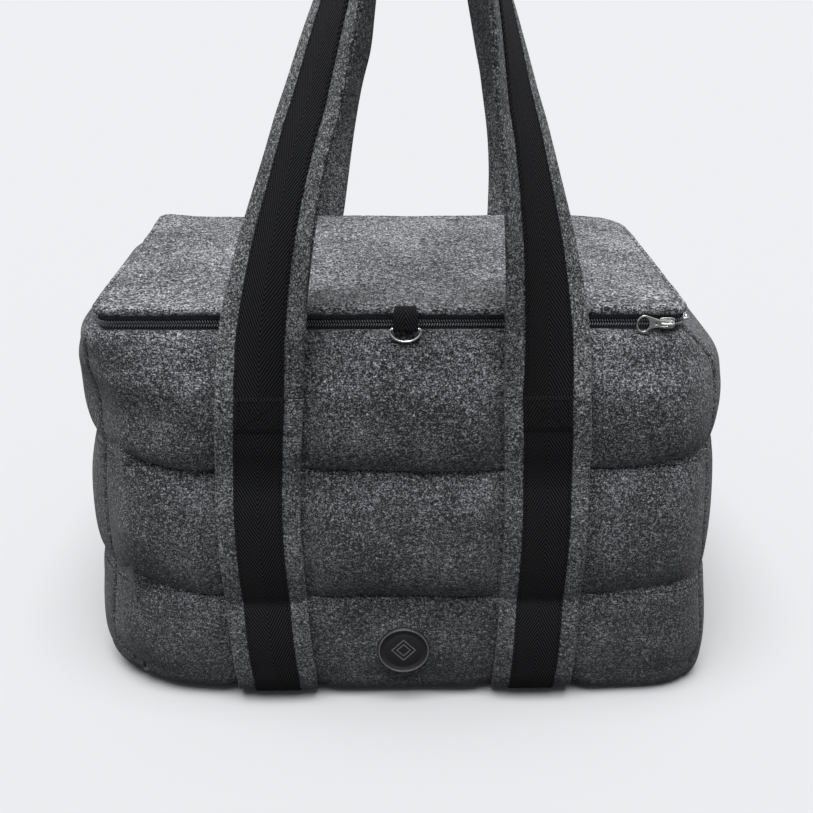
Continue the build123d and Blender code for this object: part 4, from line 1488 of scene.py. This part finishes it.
# The disc's section, in millimetres out from its axis and up from the felt.
BADGE = [(0.05, badge_thick), (9, badge_thick), (16.2, badge_thick), (16.9, 1.0), (17.6, badge_thick),
         (19.9, 1.4), (20.7, 2.0), (21.4, 2.35), (22.2, 2.3), (22.8, 1.9), (23.0, 1.2), (23.0, -0.6),
         (22.4, -1.2), (0.05, -1.2)]
badge_count = 96
badge_points = [(badge_x + r * MM * cos(t), -badge_face - h * MM, badge_z + r * MM * sin(t))
                for r, h in BADGE for t in np.linspace(0, 2 * pi, badge_count, endpoint=False)]
badge_faces = grid_faces(len(BADGE), badge_count, closed_columns=True)
badge_faces.append(tuple(range(badge_count)))
badge_faces.append(tuple(range((len(BADGE) - 1) * badge_count, len(BADGE) * badge_count)))
badge_piece = face_out(new_object("leather_badge", badge_points, badge_faces, leather))
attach(badge_piece, "root")
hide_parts("badge")


def put_motif(x, y, z):
    """The pressed motif's place on the badge's face."""
    return (badge_x + x, -badge_face - badge_thick * MM - z, badge_z + y)


def diamond(size):
    """A square standing on its corner, in millimetres."""
    return [(size, 0), (0, size), (-size, 0), (0, -size)]


for i, (outer, inner) in enumerate(((11.0, 9.6), (6.4, 5.2))):
    motif = stamping(f"badge_diamond_{i + 1}", to_metres(diamond(outer)), [to_metres(diamond(inner))],
                     0.7 * MM, 0.2 * MM, put_motif, rubbed)
    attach(motif, "root")
ring_outline, ring_inside = oval(0, 0, 22.2, 22.2, 72), oval(0, 0, 21.0, 21.0, 72)
badge_ring = stamping("badge_ring", to_metres(ring_outline), [to_metres(ring_inside)], 0.7 * MM, 0.2 * MM,
                      lambda x, y, z: put_motif(x, y, z + 0.95 * MM), rubbed)
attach(badge_ring, "root")
print("badge at height", round(badge_z, 4), "and", round(badge_x, 4), "to the right")

# %% [markdown]
# ## Stitches
# The lid's hem is topstitched close to its edge. The webbing is sewn down along both edges, the overlap with
# a box and a cross, and the channels of the walls are sewn right through. All are rows of the same part.

# %% Sew the lid's hem
hem_line = lid_edge - edge_out * (4.4 * MM)
hem_z = lid_top + lid_sag(*hem_line.T) - 0.78 * MM
hem_path = np.column_stack([hem_line, hem_z])
hem_path = np.vstack([hem_path, hem_path[:1]])
hem_stitches = row_of_parts("hem_stitches", [(hem_path, [(0, 0, 1)] * len(hem_path))], 3.6 * MM,
                            (1.35 * MM, 0.38 * MM, 0.34 * MM), 0.0, thread)
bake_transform(hem_stitches)

# %% Sew the webbing down
stitch_size = (1.4 * MM, 0.48 * MM, 0.32 * MM)
stitch_pitch = 3.4 * MM
stitch_lift = 0.05 * MM
seam_from_middle = 17.6 * MM
box_low, box_high, box_half = 273 * MM, 297 * MM, 16 * MM
box_corners = [(-box_half, box_low), (box_half, box_low), (box_half, box_high), (-box_half, box_high)]
box_lines = list(zip(box_corners, box_corners[1:] + box_corners[:1]))
box_lines += [(box_corners[0], box_corners[2]), (box_corners[1], box_corners[3])]


def on_lap(a, z, side, sign):
    """A place on an overlap's face. sign is 1 at the front and -1 at the back."""
    depth = float(strap_line(z)) + strap_felt_t + webbing_t + lap_t
    return (strap_place(z, side) + a, -sign * depth, z)


sewn_lines = []
for side, route in sewn_pieces:
    across, outward = route_frames(route)
    face = route + outward * (strap_felt_t + webbing_t + stitch_lift)
    for edge in (-1, 1):
        sewn_lines.append((face + across * edge * seam_from_middle, outward))
    for sign in (1, -1):
        for a, b in box_lines:
            steps = np.linspace(0, 1, 9)
            line = [on_lap(a[0] + (b[0] - a[0]) * s, a[1] + (b[1] - a[1]) * s, side, sign) for s in steps]
            sewn_lines.append((line, [(0, -sign, 0)] * len(line)))
strap_stitches = row_of_parts("strap_stitches", sewn_lines, stitch_pitch, stitch_size, 0.0, thread)
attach(strap_stitches, "root")
for wall, (route, across, outward, sign) in handle_frames.items():
    face = route + outward * (strap_felt_t / 2 + webbing_t + stitch_lift)
    lines = [(face + across * edge * seam_from_middle, outward) for edge in (-1, 1)]
    piece = row_of_parts(f"{wall}_handle_stitches", lines, stitch_pitch, stitch_size, 0.0, thread)
    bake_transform(piece)

# %% Sew the channels
rows_before = len(foot_turns)
per_channel = len(channel_shares) - 1
seam_lines = []
for panel, grid in wall_grids.items():
    for row in (rows_before + per_channel, rows_before + 2 * per_channel):
        line = grid[row][2:-2]
        step_x, step_y = np.gradient(line[:, 0]), np.gradient(line[:, 1])
        size = np.hypot(step_x, step_y)
        outs = np.column_stack([step_y / size, -step_x / size, np.zeros(len(line))])
        seam_lines.append((line + outs * 0.15 * MM, outs))
channel_stitches = row_of_parts("channel_stitches", seam_lines, 4.6 * MM, (1.7 * MM, 0.4 * MM, 0.4 * MM), 0.0,
                                thread)
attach(channel_stitches, "root")

# %% [markdown]
# ## Inside the bag
# The lining is a plain black weave hung flat against the wadding, a little slack. The floor of the bag is a
# removable mat on a stiff board. Each lining is a thin closed sheet with slow wrinkles.

# %% The lining's weave and its sheets' helper
lining_black, lining_tree, lining_shader = new_material("lining weave", 0.6)
lining_place = lining_tree.nodes.new("ShaderNodeTexCoord").outputs["Object"]
threads_one = noise(lining_tree, lining_place, 1400.0, 1.0, 0.5, stretch=(1, 1, 0.2))
threads_two = noise(lining_tree, lining_place, 1400.0, 1.0, 0.5, stretch=(0.2, 0.2, 1))
lining_height = calc(lining_tree, "ADD", threads_one, threads_two)
link(lining_tree, mix_colour(lining_tree, remap(lining_tree, lining_height, 0.7, 1.3), (0.010, 0.010, 0.012),
                             (0.030, 0.030, 0.034)), lining_shader.inputs["Base Color"])
add_bump(lining_tree, lining_shader, lining_height, 0.0003, 0.7)


def wrinkled_sheet(name, origin, along_u, along_v, thick, slack, seed, material):
    """A thin closed sheet. origin is a corner, the sides are vectors, thick points to its free side."""
    size_u, size_v = np.linalg.norm(along_u), np.linalg.norm(along_v)
    nu, nv = int(size_u / 0.007) + 2, int(size_v / 0.007) + 2
    u, v = np.meshgrid(np.linspace(0, 1, nu), np.linspace(0, 1, nv))
    wave = ripple(u * size_u / 0.09, v * size_v / 0.16, seed)
    wave = wave + 0.5 * ripple(u * size_u / 0.035, v * size_v / 0.08, seed + 1)
    edge = smooth(np.minimum(u, 1 - u) * size_u / 0.02) * smooth(np.minimum(v, 1 - v) * size_v / 0.02)
    thick = np.asarray(thick, float)
    normal = thick / np.linalg.norm(thick)
    back = np.array(origin) + u[..., None] * np.array(along_u) + v[..., None] * np.array(along_v)
    front = back + thick + normal * (slack * (0.6 + 0.6 * wave) * edge)[..., None]
    return closed_pad(name, front, back, material)


# %% Hang the four linings
sheet_thick = 1.0 * MM
for wall in ("front", "back", "left", "right"):
    low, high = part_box(f"{wall}_lining")
    height = (0, 0, rim_top - 0.4 * MM - low.z)
    inwards = {"front": (0, 1, 0), "back": (0, -1, 0), "left": (1, 0, 0), "right": (-1, 0, 0)}[wall]
    if wall in ("front", "back"):
        y = low.y if wall == "front" else high.y
        origin, side = (low.x, y, low.z), (high.x - low.x, 0, 0)
    else:
        x = low.x if wall == "left" else high.x
        origin, side = (x, low.y, low.z), (0, high.y - low.y, 0)
    piece = wrinkled_sheet(f"{wall}_lining_sheet", origin, side, height, np.array(inwards) * sheet_thick,
                           1.4 * MM, 400 + len(wall), lining_black)
    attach(piece, "root")
    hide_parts(f"{wall}_lining")
    print(piece.name, len(piece.data.polygons), "faces")

# %% Lay the base lining and the lid lining
low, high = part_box("base_lining")
base_sheet = wrinkled_sheet("base_lining_sheet", low, (high.x - low.x, 0, 0), (0, high.y - low.y, 0),
                            (0, 0, sheet_thick), 0.1 * MM, 430, lining_black)
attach(base_sheet, "root")
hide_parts("base_lining")

low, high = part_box("lid_lining")
lid_sheet = wrinkled_sheet("lid_lining_sheet", (low.x, low.y, high.z), (high.x - low.x, 0, 0),
                           (0, high.y - low.y, 0), (0, 0, -sheet_thick), 0.1 * MM, 440, lining_black)
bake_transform(lid_sheet)
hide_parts("lid_lining")

print(base_sheet.name, "and", lid_sheet.name)

# %% [markdown]
# The mat is a thin pad quilted in diamonds. Two waves crossing at a slant give the sewn lines: the pad is
# thinnest where either wave is zero, and it closes down to a thin edge all round.

# %% Make the mat
low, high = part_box("base_mat")
mat_columns, mat_rows = 90, 56
mat_x = np.linspace(low.x, high.x, mat_columns)
mat_y = np.linspace(low.y, high.y, mat_rows)
gx, gy = np.meshgrid(mat_x, mat_y)
rim = np.minimum.reduce([gx - low.x, high.x - gx, gy - low.y, high.y - gy])
cell = 75 * MM
cross = np.minimum(np.abs(np.sin(pi * (gx + gy) / cell)), np.abs(np.sin(pi * (gx - gy) / cell)))
puff = (high.z - low.z) * (0.45 + 0.55 * cross ** 0.45) * (0.35 + 0.65 * smooth(rim / 0.012) ** 0.5)
mat_top = np.dstack([gx, gy, low.z + puff])
mat_under = np.dstack([gx, gy, np.full_like(gx, low.z + 0.1 * MM)])
mat_pad = closed_pad("floor_mat", mat_top, mat_under, lining_black)
finish_mesh(mat_pad, ("SUBSURF", {"levels": 1, "render_levels": 1}))
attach(mat_pad, "root")
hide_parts("base_mat")
print(mat_pad.name, len(mat_pad.data.polygons), "faces")

# %% [markdown]
# The zip's two cut ends are covered by small tabs of folded tape, and a strip of lining stands at the lid's
# hinge. Each is a small closed pad, and the tabs have rounded edges. The board in the base is stiff and
# keeps its shape.

# %% End tabs
def soft_block(name, low, high, material, cells=7, puff=0.3 * MM):
    """A small flat pad between two corners, fuller in the middle and rounded by one subdivision."""
    u, v = np.meshgrid(np.linspace(0, 1, cells), np.linspace(0, 1, cells))
    y = low[1] + u * (high[1] - low[1])
    z = low[2] + v * (high[2] - low[2])
    full = puff * np.sin(pi * v) * (1 + 0.4 * ripple(u * 3, v, 500))
    near = np.dstack([low[0] - full, y, z])
    far = np.dstack([high[0] + full, y, z])
    pad = closed_pad(name, near, far, material)
    return finish_mesh(pad, ("SUBSURF", {"levels": 1, "render_levels": 1}))


tab_near, tab_far = 229.2 * MM, 232.0 * MM
for side, label in ((-1, "left"), (1, "right")):
    edges = sorted((side * tab_near, side * tab_far))
    tab = soft_block(f"{label}_zip_end", (edges[0], 131.6 * MM, 345 * MM),
                     (edges[1], 138.4 * MM, 351 * MM), tape_black)
    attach(tab, "root")
    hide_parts("zip_end_tabs")
    print(tab.name, len(tab.data.polygons), "faces")

# %% The hinge strip
strip_low, strip_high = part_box("lid_hinge_strip")
strip_x = np.linspace(strip_low.x, strip_high.x, 90)
strip_rows = []
for share in np.linspace(0, 1, 7):
    z = strip_low.z + share * (strip_high.z - strip_low.z)
    bow = 0.5 * MM * sin(pi * share) * (1 + 0.6 * ripple(strip_x / 0.04, share, 510))
    strip_rows.append(np.column_stack([strip_x, strip_low.y + 0.4 * MM - bow, np.full_like(strip_x, z)]))
strip_inner = np.array(strip_rows)
strip_outer = strip_inner + np.array([0, 2.2 * MM, 0])
hinge_strip = closed_pad("hinge_strip", strip_outer, strip_inner, lining_black)
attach(hinge_strip, "root")
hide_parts("lid_hinge_strip")
print(hinge_strip.name, round(strip_high.x - strip_low.x, 3), "m long")

# %% Finish the board
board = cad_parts["base_board"]
board.data.materials.clear()
board.data.materials.append(board_grey)
